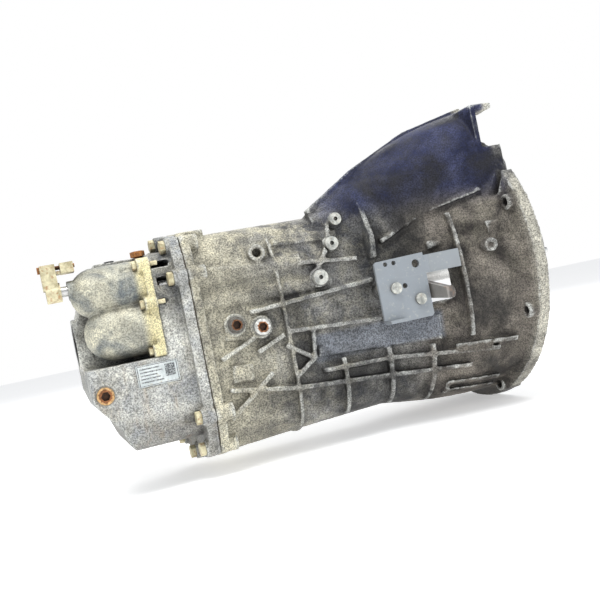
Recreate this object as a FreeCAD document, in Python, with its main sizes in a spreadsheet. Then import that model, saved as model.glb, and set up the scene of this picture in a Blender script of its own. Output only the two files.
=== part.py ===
"""Five-speed manual gearbox with its bell housing, as it comes apart on a bench.

Frame: +X points to the engine, +Z is up, and the -Y side carries the plugs and the selector.
Origin: centre of the bell housing's engine face, on the axis of the input shaft.
Lengths are in millimetres, and every driving size is a named cell of the sheet.
"""
import FreeCAD, Part
import math
import os
import re
import Sketcher

SIZES = {
    # bell housing: flange ring, bolt circle and wall
    "flange_radius": 200, "flange_thick": 18, "mouth_radius": 178, "wall": 6,
    "bell_bolts": 8, "bell_bolt_radius": 191, "bell_hole_radius": 5.5, "bell_boss_radius": 10.5,
    "bell_boss_back_x": -32, "dowel_radius": 6,
    # outline of the casting behind the flange, one station after another towards the tail
    "mouth_x": -18, "mouth_half": 185, "mouth_top": 185, "mouth_bottom": -187, "mouth_power": 2,
    "flare_x": -80, "flare_half": 160, "flare_top": 160, "flare_bottom": -185, "flare_power": 2.3,
    "waist_x": -130, "waist_half": 134, "waist_top": 138, "waist_bottom": -180, "waist_power": 2.8,
    "neck_x": -175, "neck_half": 108, "neck_top": 118, "neck_bottom": -173, "neck_power": 3.4,
    "front_x": -205, "front_half": 93, "front_top": 111, "front_bottom": -168, "front_power": 4,
    "middle_x": -337, "middle_half": 93, "middle_top": 112, "middle_bottom": -173,
    "middle_power": 4,
    "back_x": -452, "back_half": 93, "back_top": 112, "back_bottom": -179, "back_power": 4,
    # starter housing on the upper corner of the bell
    "starter_tip_x": -2, "starter_tip_y": -70, "starter_tip_half": 82, "starter_tip_top": 225,
    "starter_tip_bottom": 62,
    "starter_wide_x": -32, "starter_wide_y": -70, "starter_wide_half": 80,
    "starter_wide_top": 218, "starter_wide_bottom": 60,
    "starter_middle_x": -101, "starter_middle_y": -68, "starter_middle_half": 72,
    "starter_middle_top": 201, "starter_middle_bottom": 44,
    "starter_low_x": -190, "starter_low_y": -62, "starter_low_half": 42,
    "starter_low_top": 160, "starter_low_bottom": 36,
    "starter_end_x": -268, "starter_end_y": -56, "starter_end_half": 20,
    "starter_end_top": 113, "starter_end_bottom": 76,
    "starter_power": 2.3, "starter_wall": 6, "crest_thick": 9, "crest_front_y": -70,
    "crest_back_y": -58,
    "ear_back_x": -38, "ear_front_x": -4, "ear_front_y": -150, "ear_back_y": -96, "ear_low_z": 147,
    "ear_top_z": 214, "ear_pocket": 8,
    "notch_low_z": 146, "notch_top_z": 196, "notch_front_y": -160, "notch_back_y": -152,
    # raised ribs and pads on the side of the casting
    "rib_height": 9, "rib_thick": 6, "pad_height": 4, "side_back_y": -30, "side_front_y": -230,
    "hoop_thick": 5, "gusset_back_x": -206, "gusset_front_x": -199,
    # walls, bearing seats and joint flange of the casting
    "wall_front_x": -197, "wall_back_x": -209, "joint_thick": 12, "joint_half": 101,
    "joint_top": 117, "joint_bottom": -178, "joint_power": 5,
    "joint_bolts": 10, "joint_inset": 5.5, "joint_bolt_radius": 4.5, "joint_boss_radius": 11,
    "joint_grip": 26,
    "shaft_drop": -84,
    "big_bearing_radius": 36, "big_bearing_bore": 17.5, "big_bearing_wide": 17,
    "small_bearing_radius": 26, "small_bearing_bore": 12.5, "small_bearing_wide": 15,
    "seat_wall": 8, "race_thick": 4.6,
    # clutch side
    "window_back_x": -151, "window_front_x": -113, "window_low_z": -38, "window_top_z": 9,
    "guide_flange_radius": 52, "guide_flange_thick": 6, "guide_radius": 19.5,
    "guide_bore": 14.5, "guide_front_x": -100, "release_back_x": -127.5,
    "release_front_x": -104, "release_radius": 34,
    "ball_x": -148, "ball_y": 82, "ball_radius": 9, "fork_back_x": -145, "fork_front_x": -136,
    "fork_hole_radius": 27, "fork_tip_y": -182, "fork_tip_z": -28, "fork_pad_radius": 6,
    # gear train
    "gear_module": 3.5, "addendum": 0.9, "dedendum": 1.15, "backlash": 0.25,
    "shaft_radius": 17, "gear_bore_play": 0.05, "dog_radius": 33, "dog_wide": 5,
    "hub_radius": 33.3, "hub_half": 10, "sleeve_bore": 33.6, "sleeve_radius": 42,
    "sleeve_half": 12, "groove_half": 4, "groove_radius": 36, "ring_bore": 24,
    "ring_wide": 3, "ring_gap": 0.8, "counter_radius": 14,
    "hub_34_x": -259, "hub_12_x": -337, "hub_5r_x": -417,
    "input_gear_front_x": -219, "input_gear_back_x": -239,
    "gear_3_front_x": -279, "gear_3_back_x": -297,
    "gear_2_front_x": -299, "gear_2_back_x": -317,
    "gear_1_front_x": -357, "gear_1_back_x": -377,
    "gear_5_front_x": -381, "gear_5_back_x": -397,
    "gear_r_front_x": -437, "gear_r_back_x": -451,
    "counter_inset": 0.7, "input_nose_x": 8, "input_spline_x": -96, "input_radius": 13, "pilot_radius": 7.5,
    "bearing_pilot": 9, "tail_radius": 16, "spline_radius": 14.5,
    "spline_start_x": -500, "shaft_end_x": -591, "yoke_radius": 19, "idler_pin_radius": 9,
    # rails and forks
    "rail_radius": 6.5, "rail_play": 0.06, "rail_y": -76, "rail_12_z": 50, "rail_34_z": 18,
    "rail_5r_z": -14, "rail_front_x": -219, "rail_12_end_x": -492, "rail_34_end_x": -538,
    "rail_5r_end_x": -487, "rail_boss_radius": 11, "rail_boss_back_x": -234,
    "fork_half": 3.7, "fork_ring_radius": 49, "fork_ring_bore": 36.6,
    "fork_hub_half": 10, "fork_hub_radius": 10.5, "fork_arm_half": 8,
    "rod_y": -62, "rod_z": 68, "rod_front_x": -458, "rod_end_x": -620, "rod_boss_radius": 12,
    "rod_boss_x": -596, "rod_boss_long": 36,
    # tail housing
    "tail_front_x": -452.8, "tail_end_x": -594, "tail_half": 91, "tail_top": 97,
    "tail_bottom": -146, "tail_power": 7, "tail_wall_x": -470, "tail_joint_x": -466,
    "block_back_x": -495, "shelf_y": -26, "shelf_z": -34, "boss_radius_tail": 34,
    "tail_boss_x": -597, "bush_wall": 3, "bush_front_x": -566, "bush_back_x": -585,
    "seal_wide": 8,
    "label_x": -511, "label_z": -54, "label_long": 52, "label_high": 27, "label_depth": 1.6,
    # selector cover
    "cover_flange": 10, "cover_front_y": -97, "cover_back_y": -28, "cover_low_z": -34,
    "cover_top_z": 91, "upper_y": -59, "upper_z": 59, "upper_radius": 32, "upper_end_x": -563,
    "lower_y": -61, "lower_z": 6, "lower_radius": 35, "lower_end_x": -552, "cover_wall": 5,
    "cover_bolt_radius": 3, "cover_boss_radius": 9,
    # plugs, bracket and small parts
    "plug_radius": 10.5, "plug_proud": 6, "washer_thick": 1.5, "plug_thread": 8,
    "fill_x": -405, "fill_z": -15, "level_x": -372, "level_z": -24, "drain_x": -579,
    "drain_z": -67, "side_boss_y": -101, "boss_face_radius": 10.6, "drain_face_y": -95,
    "tapped_x": -358, "tapped_z": 71, "tapped_radius": 6, "tapped_boss_radius": 11,
    "tapped_face_y": -99, "tapped_depth": 14,
    "plate_back_y": -139, "plate_thick": 4, "plate_left_x": -220, "plate_right_x": -148,
    "plate_low_z": -55, "plate_top_z": 30, "wing_tip_x": -103, "wing_tip_y": -158, "wing_high": 24,
    "mount_hole_radius": 5, "mount_spacing": 70, "mount_half_pitch": 22, "mount_x": -520,
    "mount_depth": 14,
    # bosses, tubes and stand-offs on the side of the casting
    "boss_depth": 40, "plug_boss_radius": 15, "rail_tube_radius": 14, "rail_tube_back_x": -444,
    "upper_tube_front_x": -300, "middle_tube_front_x": -262, "access_x": -134, "access_y": -133,
    "access_z": 38, "access_long": 82, "access_tip_radius": 5, "access_foot_radius": 17,
    "access_bore": 9, "access_bore_x": -54, "access_bore_y": -176, "access_bore_long": 22,
    "stand_off_radius": 9, "stand_off_foot_radius": 13, "stand_off_foot_y": -88,
    "stand_off_bore": 4, "detent_bore": 5, "detent_depth": 12, "guide_bolt_circle": 45.5,
    "guide_bolt_radius": 3, "input_hole_radius": 29, "top_block_half": 62, "top_block_low_z": 96,
    "starter_room_back_x": -150, "stud_radius": 4, "stud_collar_radius": 8, "stud_post_radius": 13,
    # details of the tail housing
    "main_hole_radius": 24, "seal_radius": 28, "tail_boss_long": 19, "drain_boss_long": 30,
    "crown_bolt_x": -500, "crown_bolt_y": -40, "crown_face_radius": 10, "breather_x": -530,
    "breather_y": 34, "breather_stem_radius": 3, "breather_cap_radius": 7,
    "tail_room_back_x": -578, "tail_room_right_y": 80, "sump_back_x": -552, "sump_left_y": -81,
    "sump_low_z": -132, "rail_room_back_x": -510, "rail_room_left_y": -86,
    "rail_room_right_y": -34, "rail_room_low_z": -27, "rail_room_top_z": 84,
    # selector's finger, coupling and pin
    "finger_back_x": -528, "finger_wide": 10, "finger_hub_radius": 11, "coupling_back_x": -624,
    "coupling_front_x": -584, "cheek_front_x": -606, "lug_back_x": -600, "coupling_low_z": 72,
    "coupling_top_z": 103, "lug_low_z": 90, "bridge_top_z": 94, "coupling_left_y": -73,
    "coupling_right_y": -50, "coupling_hub_radius": 12, "pin_z": 98.5, "pin_radius": 2.5,
    "pin_head_radius": 4.3, "pin_long": 42,
}

# corner points (x, z) of the raised ribs on the side, walked in order
RIBS = {
    "upper_ridge": [(-436, 62), (-330, 51), (-222, 40)],
    "middle_ridge": [(-384, -3), (-300, 2), (-206, 8)],
    "lower_ridge": [(-338, -37), (-205, -46)],
    "long_rib": [(-300, -97), (-199, -101), (-62, -116)],
    "low_rib": [(-428, -95), (-340, -111), (-204, -124), (-100, -132)],
    "fan_one": [(-432, -131), (-368, -84)],
    "fan_two": [(-431, -55), (-384, -36)],
    "fan_three": [(-382, -55), (-344, -40)],
    "triangle_top": [(-344, -54), (-309, -78)],
    "triangle_low": [(-309, -78), (-338, -97)],
    "triangle_side": [(-304, -44), (-309, -78)],
    "cross_one": [(-269, -86), (-269, -163)],
    "cross_two": [(-203, -86), (-203, -165)],
    "cross_three": [(-150, -92), (-150, -172)],
    "slot_one_top": [(-122, -102), (-38, -108)],
    "slot_two_top": [(-128, -152), (-46, -160)],
    "slot_two_low": [(-128, -164), (-46, -173)],
    "slot_end": [(-128, -150), (-128, -168)],
    "bell_edge": [(-100, 76), (-100, -92)],
    "bell_edge_top": [(-185, 56), (-130, 84), (-46, 100)],
    "link_rib": [(-248, 98), (-258, 66), (-286, 28)],
}
PADS = {
    "smooth_pad": ([(-300, -62), (-136, -72)], 33),
    "plug_island": ([(-420, -18), (-362, -24)], 30),
    "block_pad": ([(-420, -76), (-392, -78)], 22),
    "top_pad": ([(-330, 84), (-240, 78)], 14),
}
# bosses (x, z, radius, face y) on the side of the casting
BOSSES = {
    "boss_a": (-238, 98, 10, -84),
    "boss_b": (-254, 66, 11, -94),
    "boss_c": (-281, 24, 13, -100),
    "boss_d": (-66, 22, 9, -182),
}
# holes in the bracket plate (x, z, radius)
PLATE_HOLES = [(-204, 23, 3), (-192, 23, 3), (-161, 17, 5.5), (-182, -9, 3.5)]
PLATE_BOLTS = [(-196, -10), (-164, -30)]
# selector cover's bolts (y, z)
COVER_BOLTS = [(-86, 82), (-33, 82), (-91, 33), (-33, -24), (-87, -26)]
# counter gears and the gears that they drive: teeth on the counter shaft, teeth on the main one
PAIRS = {
    "gear_1": (13, 35), "gear_2": (18, 30), "gear_3": (24, 24), "gear_5": (32, 16),
    "gear_r": (15, 27),
}
INPUT_TEETH, DRIVEN_TEETH, IDLER_TEETH = 19, 29, 16

DOC = FreeCAD.newDocument("manual_transmission")
SHEET = DOC.addObject("Spreadsheet::Sheet", "dimensions")
FINISHED = []


# ---------------------------------------------------------------- sheet and formulas

def fill_sheet():
    """Write every size, rib corner and boss to the sheet, each cell under its own alias."""
    rows = dict(SIZES)
    for name, points in list(RIBS.items()) + [(name, path) for name, (path, _) in PADS.items()]:
        for number, (x, z) in enumerate(points):
            rows[f"{name}_{number}_x"] = x
            rows[f"{name}_{number}_z"] = z
    for name, (_, wide) in PADS.items():
        rows[f"{name}_wide"] = wide
    for name, (x, z, radius, face) in BOSSES.items():
        rows.update({f"{name}_x": x, f"{name}_z": z, f"{name}_radius": radius, f"{name}_y": face})
    for row, (alias, value) in enumerate(rows.items(), start=1):
        SHEET.set(f"A{row}", alias)
        SHEET.set(f"B{row}", str(value))
        SHEET.setAlias(f"B{row}", alias)
    SIZES.update(rows)
    DOC.recompute()


def full(formula):
    """The formula as other objects need it, with each alias led by the sheet's name."""
    def lead(match):
        word = match.group(0)
        return f"dimensions.{word}" if word in SIZES else word
    return re.sub(r"[A-Za-z_][A-Za-z_0-9]*", lead, str(formula))


def bind(thing, path, formula):
    thing.setExpression(path, full(formula))


def number(formula):
    """The formula's value now, for the shapes that no parametric object can hold."""
    return float(SHEET.evalExpression(str(formula)))


# ---------------------------------------------------------------- parametric helpers

def block(name, x, y, z):
    """A box between the pairs of formulas x, y and z."""
    solid = DOC.addObject("Part::Box", name)
    for side, axis, (low, high) in (("Length", "x", x), ("Width", "y", y), ("Height", "z", z)):
        bind(solid, side, f"({high}) - ({low})")
        bind(solid, f"Placement.Base.{axis}", low)
    return solid


AXES = {"x": FreeCAD.Vector(1, 0, 0), "y": FreeCAD.Vector(0, 1, 0), "z": FreeCAD.Vector(0, 0, 1)}


def place(solid, start, axis):
    solid.Placement.Rotation = FreeCAD.Rotation(AXES["z"], AXES[axis])
    for letter, formula in zip("xyz", start):
        bind(solid, f"Placement.Base.{letter}", formula)
    return solid


def rod(name, radius, start, length, axis="x"):
    """A round bar from start, length along +axis."""
    solid = DOC.addObject("Part::Cylinder", name)
    bind(solid, "Radius", radius)
    bind(solid, "Height", length)
    return place(solid, start, axis)


def cone(name, radius, end_radius, start, length, axis="x"):
    solid = DOC.addObject("Part::Cone", name)
    bind(solid, "Radius1", radius)
    bind(solid, "Radius2", end_radius)
    bind(solid, "Height", length)
    return place(solid, start, axis)


def hexagon(name, across, start, length, axis="x"):
    """A six-sided head, across flats, from start along +axis."""
    solid = DOC.addObject("Part::Prism", name)
    solid.Polygon = 6
    bind(solid, "Circumradius", f"({across}) / sqrt(3)")
    bind(solid, "Height", length)
    return place(solid, start, axis)


def ball(name, radius, centre):
    solid = DOC.addObject("Part::Sphere", name)
    bind(solid, "Radius", radius)
    return place(solid, centre, "z")


def bar(name, start, end, wide, y=("side_front_y", "side_back_y")):
    """A slanting strip in the XZ plane from start to end, through the pair of formulas y."""
    (x0, z0), (x1, z1) = start, end
    run, rise = f"(({x1}) - ({x0}))", f"(({z1}) - ({z0}))"
    long = f"sqrt({run}^2 + {rise}^2)"
    solid = DOC.addObject("Part::Box", name)
    bind(solid, "Length", long)
    bind(solid, "Width", f"({y[1]}) - ({y[0]})")
    bind(solid, "Height", wide)
    solid.Placement.Rotation = FreeCAD.Rotation(FreeCAD.Vector(0, 1, 0), 1)
    bind(solid, "Placement.Rotation.Angle", f"-atan2({rise}; {run})")
    bind(solid, "Placement.Base.x", f"({x0}) + ({wide}) / 2 * {rise} / {long}")
    bind(solid, "Placement.Base.y", y[0])
    bind(solid, "Placement.Base.z", f"({z0}) - ({wide}) / 2 * {run} / {long}")
    return solid


def join(name, *parts):
    whole = DOC.addObject("Part::MultiFuse", name)
    whole.Refine = False
    whole.Shapes = list(parts)
    return whole


def build_up(name, base, *stages):
    """Join lists of parts to a base one list after another, which large castings need."""
    whole = base
    for number_of, parts in enumerate(stages):
        whole = join(f"{name}_{number_of}", whole, *parts)
    return whole


def group(name, *parts):
    """Separate solids of one kind that share a node."""
    whole = DOC.addObject("Part::Compound", name)
    whole.Links = list(parts)
    return whole


def less(name, base, *tools):
    whole = DOC.addObject("Part::Cut", name)
    whole.Refine = False
    whole.Base = base
    whole.Tool = tools[0] if len(tools) == 1 else join(f"{name}_tools", *tools)
    return whole


def both(name, one, other):
    whole = DOC.addObject("Part::Common", name)
    whole.Refine = False
    whole.Base = one
    whole.Tool = other
    return whole


def outline(body, plane, points, offset=None):
    """A closed sketch through the formula pairs, every corner held to the sheet."""
    sketch = body.newObject("Sketcher::SketchObject", f"{body.Name}_outline")
    origin = next(item for item in body.Origin.OriginFeatures if item.Role == plane)
    sketch.AttachmentSupport = [(origin, "")]
    sketch.MapMode = "FlatFace"
    if offset:
        bind(sketch, "AttachmentOffset.Base.z", offset)
    corners = [FreeCAD.Vector(number(a), number(b), 0) for a, b in points]
    for here, there in zip(corners, corners[1:] + corners[:1]):
        sketch.addGeometry(Part.LineSegment(here, there))
    count = len(corners)
    for item in range(count):
        sketch.addConstraint(Sketcher.Constraint("Coincident", item, 2, (item + 1) % count, 1))
    for item, (pair, corner) in enumerate(zip(points, corners)):
        for kind, formula, value in zip(("DistanceX", "DistanceY"), pair, (corner.x, corner.y)):
            held = sketch.addConstraint(Sketcher.Constraint(kind, -1, 1, item, 1, value))
            bind(sketch, f"Constraints[{held}]", formula)
    return sketch


def turned(name, profile, y="0", z="0"):
    """A body turned about the X direction from (x, radius) corners."""
    body = DOC.addObject("PartDesign::Body", name)
    sketch = outline(body, "XZ_Plane", profile)
    turn = body.newObject("PartDesign::Revolution", f"{name}_turn")
    turn.Profile = sketch
    turn.ReferenceAxis = (sketch, ["H_Axis"])
    turn.Angle = 360
    bind(body, "Placement.Base.y", y)
    bind(body, "Placement.Base.z", z)
    return body


def ring(name, bore, radius, x, y="0", z="0"):
    """A plain ring about the X direction, between the pair of formulas x."""
    return turned(name, [(x[0], bore), (x[0], radius), (x[1], radius), (x[1], bore)], y, z)


def padded(name, plane, points, start, length):
    """A body padded from an outline; start and length run along the plane's normal."""
    body = DOC.addObject("PartDesign::Body", name)
    sketch = outline(body, plane, points, start)
    pad = body.newObject("PartDesign::Pad", f"{name}_pad")
    pad.Profile = sketch
    bind(pad, "Length", length)
    return body


def keep(piece, label):
    """Mark a finished piece; its label is the name of its node."""
    piece.Label = label
    FINISHED.append(piece)
    return piece


# ---------------------------------------------------------------- shapes made by formula

def fixed(name, shape):
    """A feature for a shape that a formula makes."""
    feature = DOC.addObject("Part::Feature", name)
    feature.Shape = shape
    return feature


def hoop(x, y, half, top, bottom, power, points=24):
    """A closed smooth section across X: a superellipse, from a circle to a rounded box."""
    middle, high = (top + bottom) / 2, (top - bottom) / 2
    knots = []
    for step in range(points):
        turn = 2 * math.pi * step / points
        across, up = math.cos(turn), math.sin(turn)
        knots.append(FreeCAD.Vector(
            x,
            y + half * math.copysign(abs(across) ** (2 / power), across),
            middle + high * math.copysign(abs(up) ** (2 / power), up)))
    curve = Part.BSplineCurve()
    curve.interpolate(knots, PeriodicFlag=True)
    return Part.Wire(curve.toShape())


def casting(name, stations, grow=0, ends=(None, None), grow_up=None):
    """A smooth loft through named stations of the sheet, grown outward by a height."""
    grow_up = grow if grow_up is None else grow_up
    hoops = []
    for place_in_row, station in enumerate(stations):
        x, half, top, bottom, power = (
            number(f"{station}_{word}") for word in ("x", "half", "top", "bottom", "power"))
        if place_in_row == 0 and ends[0] is not None:
            x = number(ends[0])
        if place_in_row == len(stations) - 1 and ends[1] is not None:
            x = number(ends[1])
        hoops.append(hoop(x, 0, half + grow, top + grow_up, bottom - grow_up, power))
    return fixed(name, Part.makeLoft(hoops, True, False))


def starter_form(name, grow=0, reach=0):
    """The starter housing's own loft, from reach past its tip back to the top of the case."""
    hoops = []
    for station in ("tip", "wide", "middle", "low", "end"):
        x, y, half, top, bottom = (
            number(f"starter_{station}_{word}") for word in ("x", "y", "half", "top", "bottom"))
        if station == "tip":
            x += reach
        hoops.append(hoop(x, y, half + grow, top + grow, bottom - grow, number("starter_power")))
    return fixed(name, Part.makeLoft(hoops, True, False))


def straight_form(name, half, top, bottom, power, x):
    """A prism of one superellipse between the pair of formulas x."""
    hoops = [hoop(number(end), 0, number(half), number(top), number(bottom), number(power))
             for end in x]
    return fixed(name, Part.makeLoft(hoops, True, True))


def involute(angle_pressure):
    return math.tan(angle_pressure) - angle_pressure


def toothed(name, teeth, x, phase, y=0.0, z=0.0):
    """A straight-cut gear blank about the X direction, one tooth centred on angle phase.

    Angles run from +Y towards +Z. Each flank follows an involute at its root, pitch circle
    and tip, thinned by the backlash.
    """
    module = number("gear_module")
    pitch = module * teeth / 2
    base = pitch * math.cos(math.radians(20))
    tip = pitch + module * number("addendum")
    root = pitch - module * number("dedendum")
    half_tooth = math.pi / (2 * teeth) - number("backlash") / pitch + involute(math.radians(20))
    flank = []
    for radius in (root, max(base, root), pitch, tip):
        lean = involute(math.acos(min(1, base / radius)))
        flank.append((radius, half_tooth - lean))
    corners = []
    back = number(x[0])
    for tooth in range(teeth):
        centre = phase + 2 * math.pi * tooth / teeth
        sides = [(r, centre - a) for r, a in flank] + [(r, centre + a) for r, a in flank[::-1]]
        corners += [FreeCAD.Vector(back, y + r * math.cos(a), z + r * math.sin(a))
                    for r, a in sides]
    distinct = [corners[0]]
    for corner in corners[1:]:
        if (corner - distinct[-1]).Length > 1e-4:
            distinct.append(corner)
    face = Part.Face(Part.makePolygon(distinct + [distinct[0]]))
    return fixed(name, face.extrude(FreeCAD.Vector(number(x[1]) - back, 0, 0)))


def mesh_phase(teeth_a, phase_a, teeth_b, towards):
    """The phase of gear b that puts a space where a's tooth points, towards b's centre."""
    return towards + math.pi + (math.pi - teeth_a * (phase_a - towards)) / teeth_b


# ---------------------------------------------------------------- front case

BELL = ("mouth", "flare", "waist", "neck", "front")
CASE = ("front", "middle", "back")


def joint_places():
    """Where the joint bolts stand, spread round the joint flange as (y, z) formulas."""
    places = []
    count = int(number("joint_bolts"))
    for step in range(count):
        turn = 2 * math.pi * (step + 0.5) / count
        across, up = math.cos(turn), math.sin(turn)
        power = 2 / number("joint_power")
        y = math.copysign(round(abs(across) ** power, 3), across)
        z = math.copysign(round(abs(up) ** power, 3), up)
        places.append((f"(joint_half - joint_inset) * ({y})",
                       "(joint_top + joint_bottom) / 2"
                       f" + ((joint_top - joint_bottom) / 2 - joint_inset) * ({z})"))
    return places


def bell_places():
    count = int(number("bell_bolts"))
    turns = [360 * (step + 0.5) / count for step in range(count)]
    return [(f"bell_bolt_radius * cos({turn})", f"bell_bolt_radius * sin({turn})")
            for turn in turns]


def side_ribs():
    """Strips along every rib and pad, trimmed to stand a fixed height above the casting."""
    tall = join("tall_form", casting("bell_tall", BELL, SIZES["rib_height"], grow_up=3),
                casting("case_tall", CASE, SIZES["rib_height"], grow_up=3))
    low = join("low_form", casting("bell_low", BELL, SIZES["pad_height"], grow_up=0),
               casting("case_low", CASE, SIZES["pad_height"], grow_up=0))
    strips = []
    for name, points in RIBS.items():
        for step in range(len(points) - 1):
            ends = [(f"{name}_{item}_x", f"{name}_{item}_z") for item in (step, step + 1)]
            strips.append(bar(f"{name}_{step}", ends[0], ends[1], "rib_thick"))
    patches = [bar(name, (f"{name}_0_x", f"{name}_0_z"), (f"{name}_1_x", f"{name}_1_z"),
                   f"{name}_wide") for name in PADS]
    ribs = both("ribs", tall, join("rib_strips", *strips))
    pads = both("pads", low, join("pad_strips", *patches))
    hoop_rib = straight_form("hoop_rib", "middle_half + rib_height - 1", "middle_top - 4",
                             "middle_bottom - 2", "middle_power",
                             ("middle_x - hoop_thick / 2", "middle_x + hoop_thick / 2"))
    return [ribs, pads, hoop_rib]


def flange_parts():
    """The engine flange, its lip and the bosses behind its bolt holes."""
    parts = [ring("flange_ring", "mouth_radius - 30", "flange_radius", ("-flange_thick", "0")),
             turned("flange_lip", [("-flange_thick - 16", "mouth_radius"),
                                   ("-flange_thick", "flange_radius - 5"),
                                   ("-flange_thick + 2", "flange_radius - 5"),
                                   ("-flange_thick + 2", "mouth_radius")])]
    for step, (y, z) in enumerate(bell_places()):
        parts.append(rod(f"bell_boss_{step}", "bell_boss_radius", ("bell_boss_back_x", y, z),
                         "-bell_boss_back_x"))
    return parts


def joint_parts():
    """The rim that the tail housing bolts to, its bosses and the block on its top."""
    parts = [straight_form("joint_rim", "joint_half", "joint_top", "joint_bottom", "joint_power",
                           ("back_x", "back_x + joint_thick")),
             block("top_block", ("back_x", "back_x + 38"),
                   ("-top_block_half", "top_block_half"), ("top_block_low_z", "joint_top"))]
    for step, (y, z) in enumerate(joint_places()):
        parts.append(rod(f"joint_boss_{step}", "joint_boss_radius", ("back_x", y, z), "24"))
    return parts


def starter_parts():
    """The ear at the starter's mouth and the ridge along the crest of its housing."""
    parts = [block("ear", ("ear_back_x", "ear_front_x"), ("ear_front_y", "ear_back_y"),
                   ("ear_low_z", "ear_top_z"))]
    crest = [("starter_end_x", "starter_end_top"), ("starter_low_x", "starter_low_top"),
             ("starter_middle_x", "starter_middle_top"), ("starter_wide_x", "starter_wide_top"),
             ("starter_tip_x", "starter_tip_top")]
    for step in range(len(crest) - 1):
        parts.append(bar(f"crest_{step}", crest[step], crest[step + 1], "crest_thick",
                         ("crest_front_y", "crest_back_y")))
    return parts


def side_parts():
    """Gusset, bosses, rail tubes and stand-offs on the -Y side."""
    parts = [padded("gusset", "YZ_Plane",
                    [("-60", "139"), ("-86", "139"), ("-118", "66"), ("-114", "36"),
                     ("-60", "36")], "gusset_back_x", "gusset_front_x - gusset_back_x")]
    for name in BOSSES:
        parts.append(rod(name, f"{name}_radius", (f"{name}_x", f"{name}_y", f"{name}_z"),
                         "boss_depth", "y"))
    for name, x, z in (("fill", "fill_x", "fill_z"), ("level", "level_x", "level_z")):
        parts.append(rod(f"{name}_boss", "plug_boss_radius", (x, "side_boss_y", z),
                         "boss_depth", "y"))
    parts.append(rod("tapped_boss", "tapped_boss_radius", ("tapped_x", "tapped_face_y", "tapped_z"),
                     "boss_depth", "y"))
    for name, z in (("upper", "rail_12_z"), ("middle", "rail_34_z")):
        parts.append(rod(f"{name}_rail_tube", "rail_tube_radius",
                         ("rail_tube_back_x", "rail_y - 8", z),
                         f"{name}_tube_front_x - rail_tube_back_x"))
    parts.append(cone("access_cone", "access_tip_radius", "access_foot_radius",
                      ("access_x", "access_y", "access_z"), "access_long"))
    for step, (x, z) in enumerate(PLATE_BOLTS):
        parts.append(cone(f"stand_off_{step}", "stand_off_radius", "stand_off_foot_radius",
                          (x, "plate_back_y", z), "stand_off_foot_y - plate_back_y", "y"))
    return parts


def outside_of_case():
    """Everything that stands on the outside of the bell and the gear case."""
    ribs, pads, hoop_rib = side_ribs()
    forms = join("case_forms", casting("bell_form", BELL), casting("case_form", CASE),
                 starter_form("starter_form"))
    return build_up("case_outside", forms, flange_parts(), joint_parts(), starter_parts(),
                    side_parts(), [hoop_rib], [pads], [ribs])


def whole_flange():
    """The part of the flange that carries on across the starter's opening."""
    y, z = bell_places()[2]
    return [ring("flange_band", "mouth_radius", "flange_radius", ("-flange_thick", "0")),
            rod("band_boss", "bell_boss_radius", ("bell_boss_back_x", y, z), "-bell_boss_back_x")]


def seats_in_case():
    """Front wall's bearing seats, rail bosses and the posts of the clutch side."""
    return [
        rod("input_seat", "big_bearing_radius + seat_wall", ("wall_front_x - 19", "0", "0"), "19"),
        rod("counter_seat", "small_bearing_radius + seat_wall",
            ("wall_front_x - 18", "0", "shaft_drop"), "18"),
        *[rod(f"rail_boss_{name}", "rail_boss_radius",
              ("rail_boss_back_x", "rail_y", f"rail_{name}_z"), "wall_back_x - rail_boss_back_x + 1")
          for name in ("12", "34", "5r")],
        rod("stud_post", "stud_post_radius", ("wall_front_x - 1", "ball_y", "0"), "18"),
    ]


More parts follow.
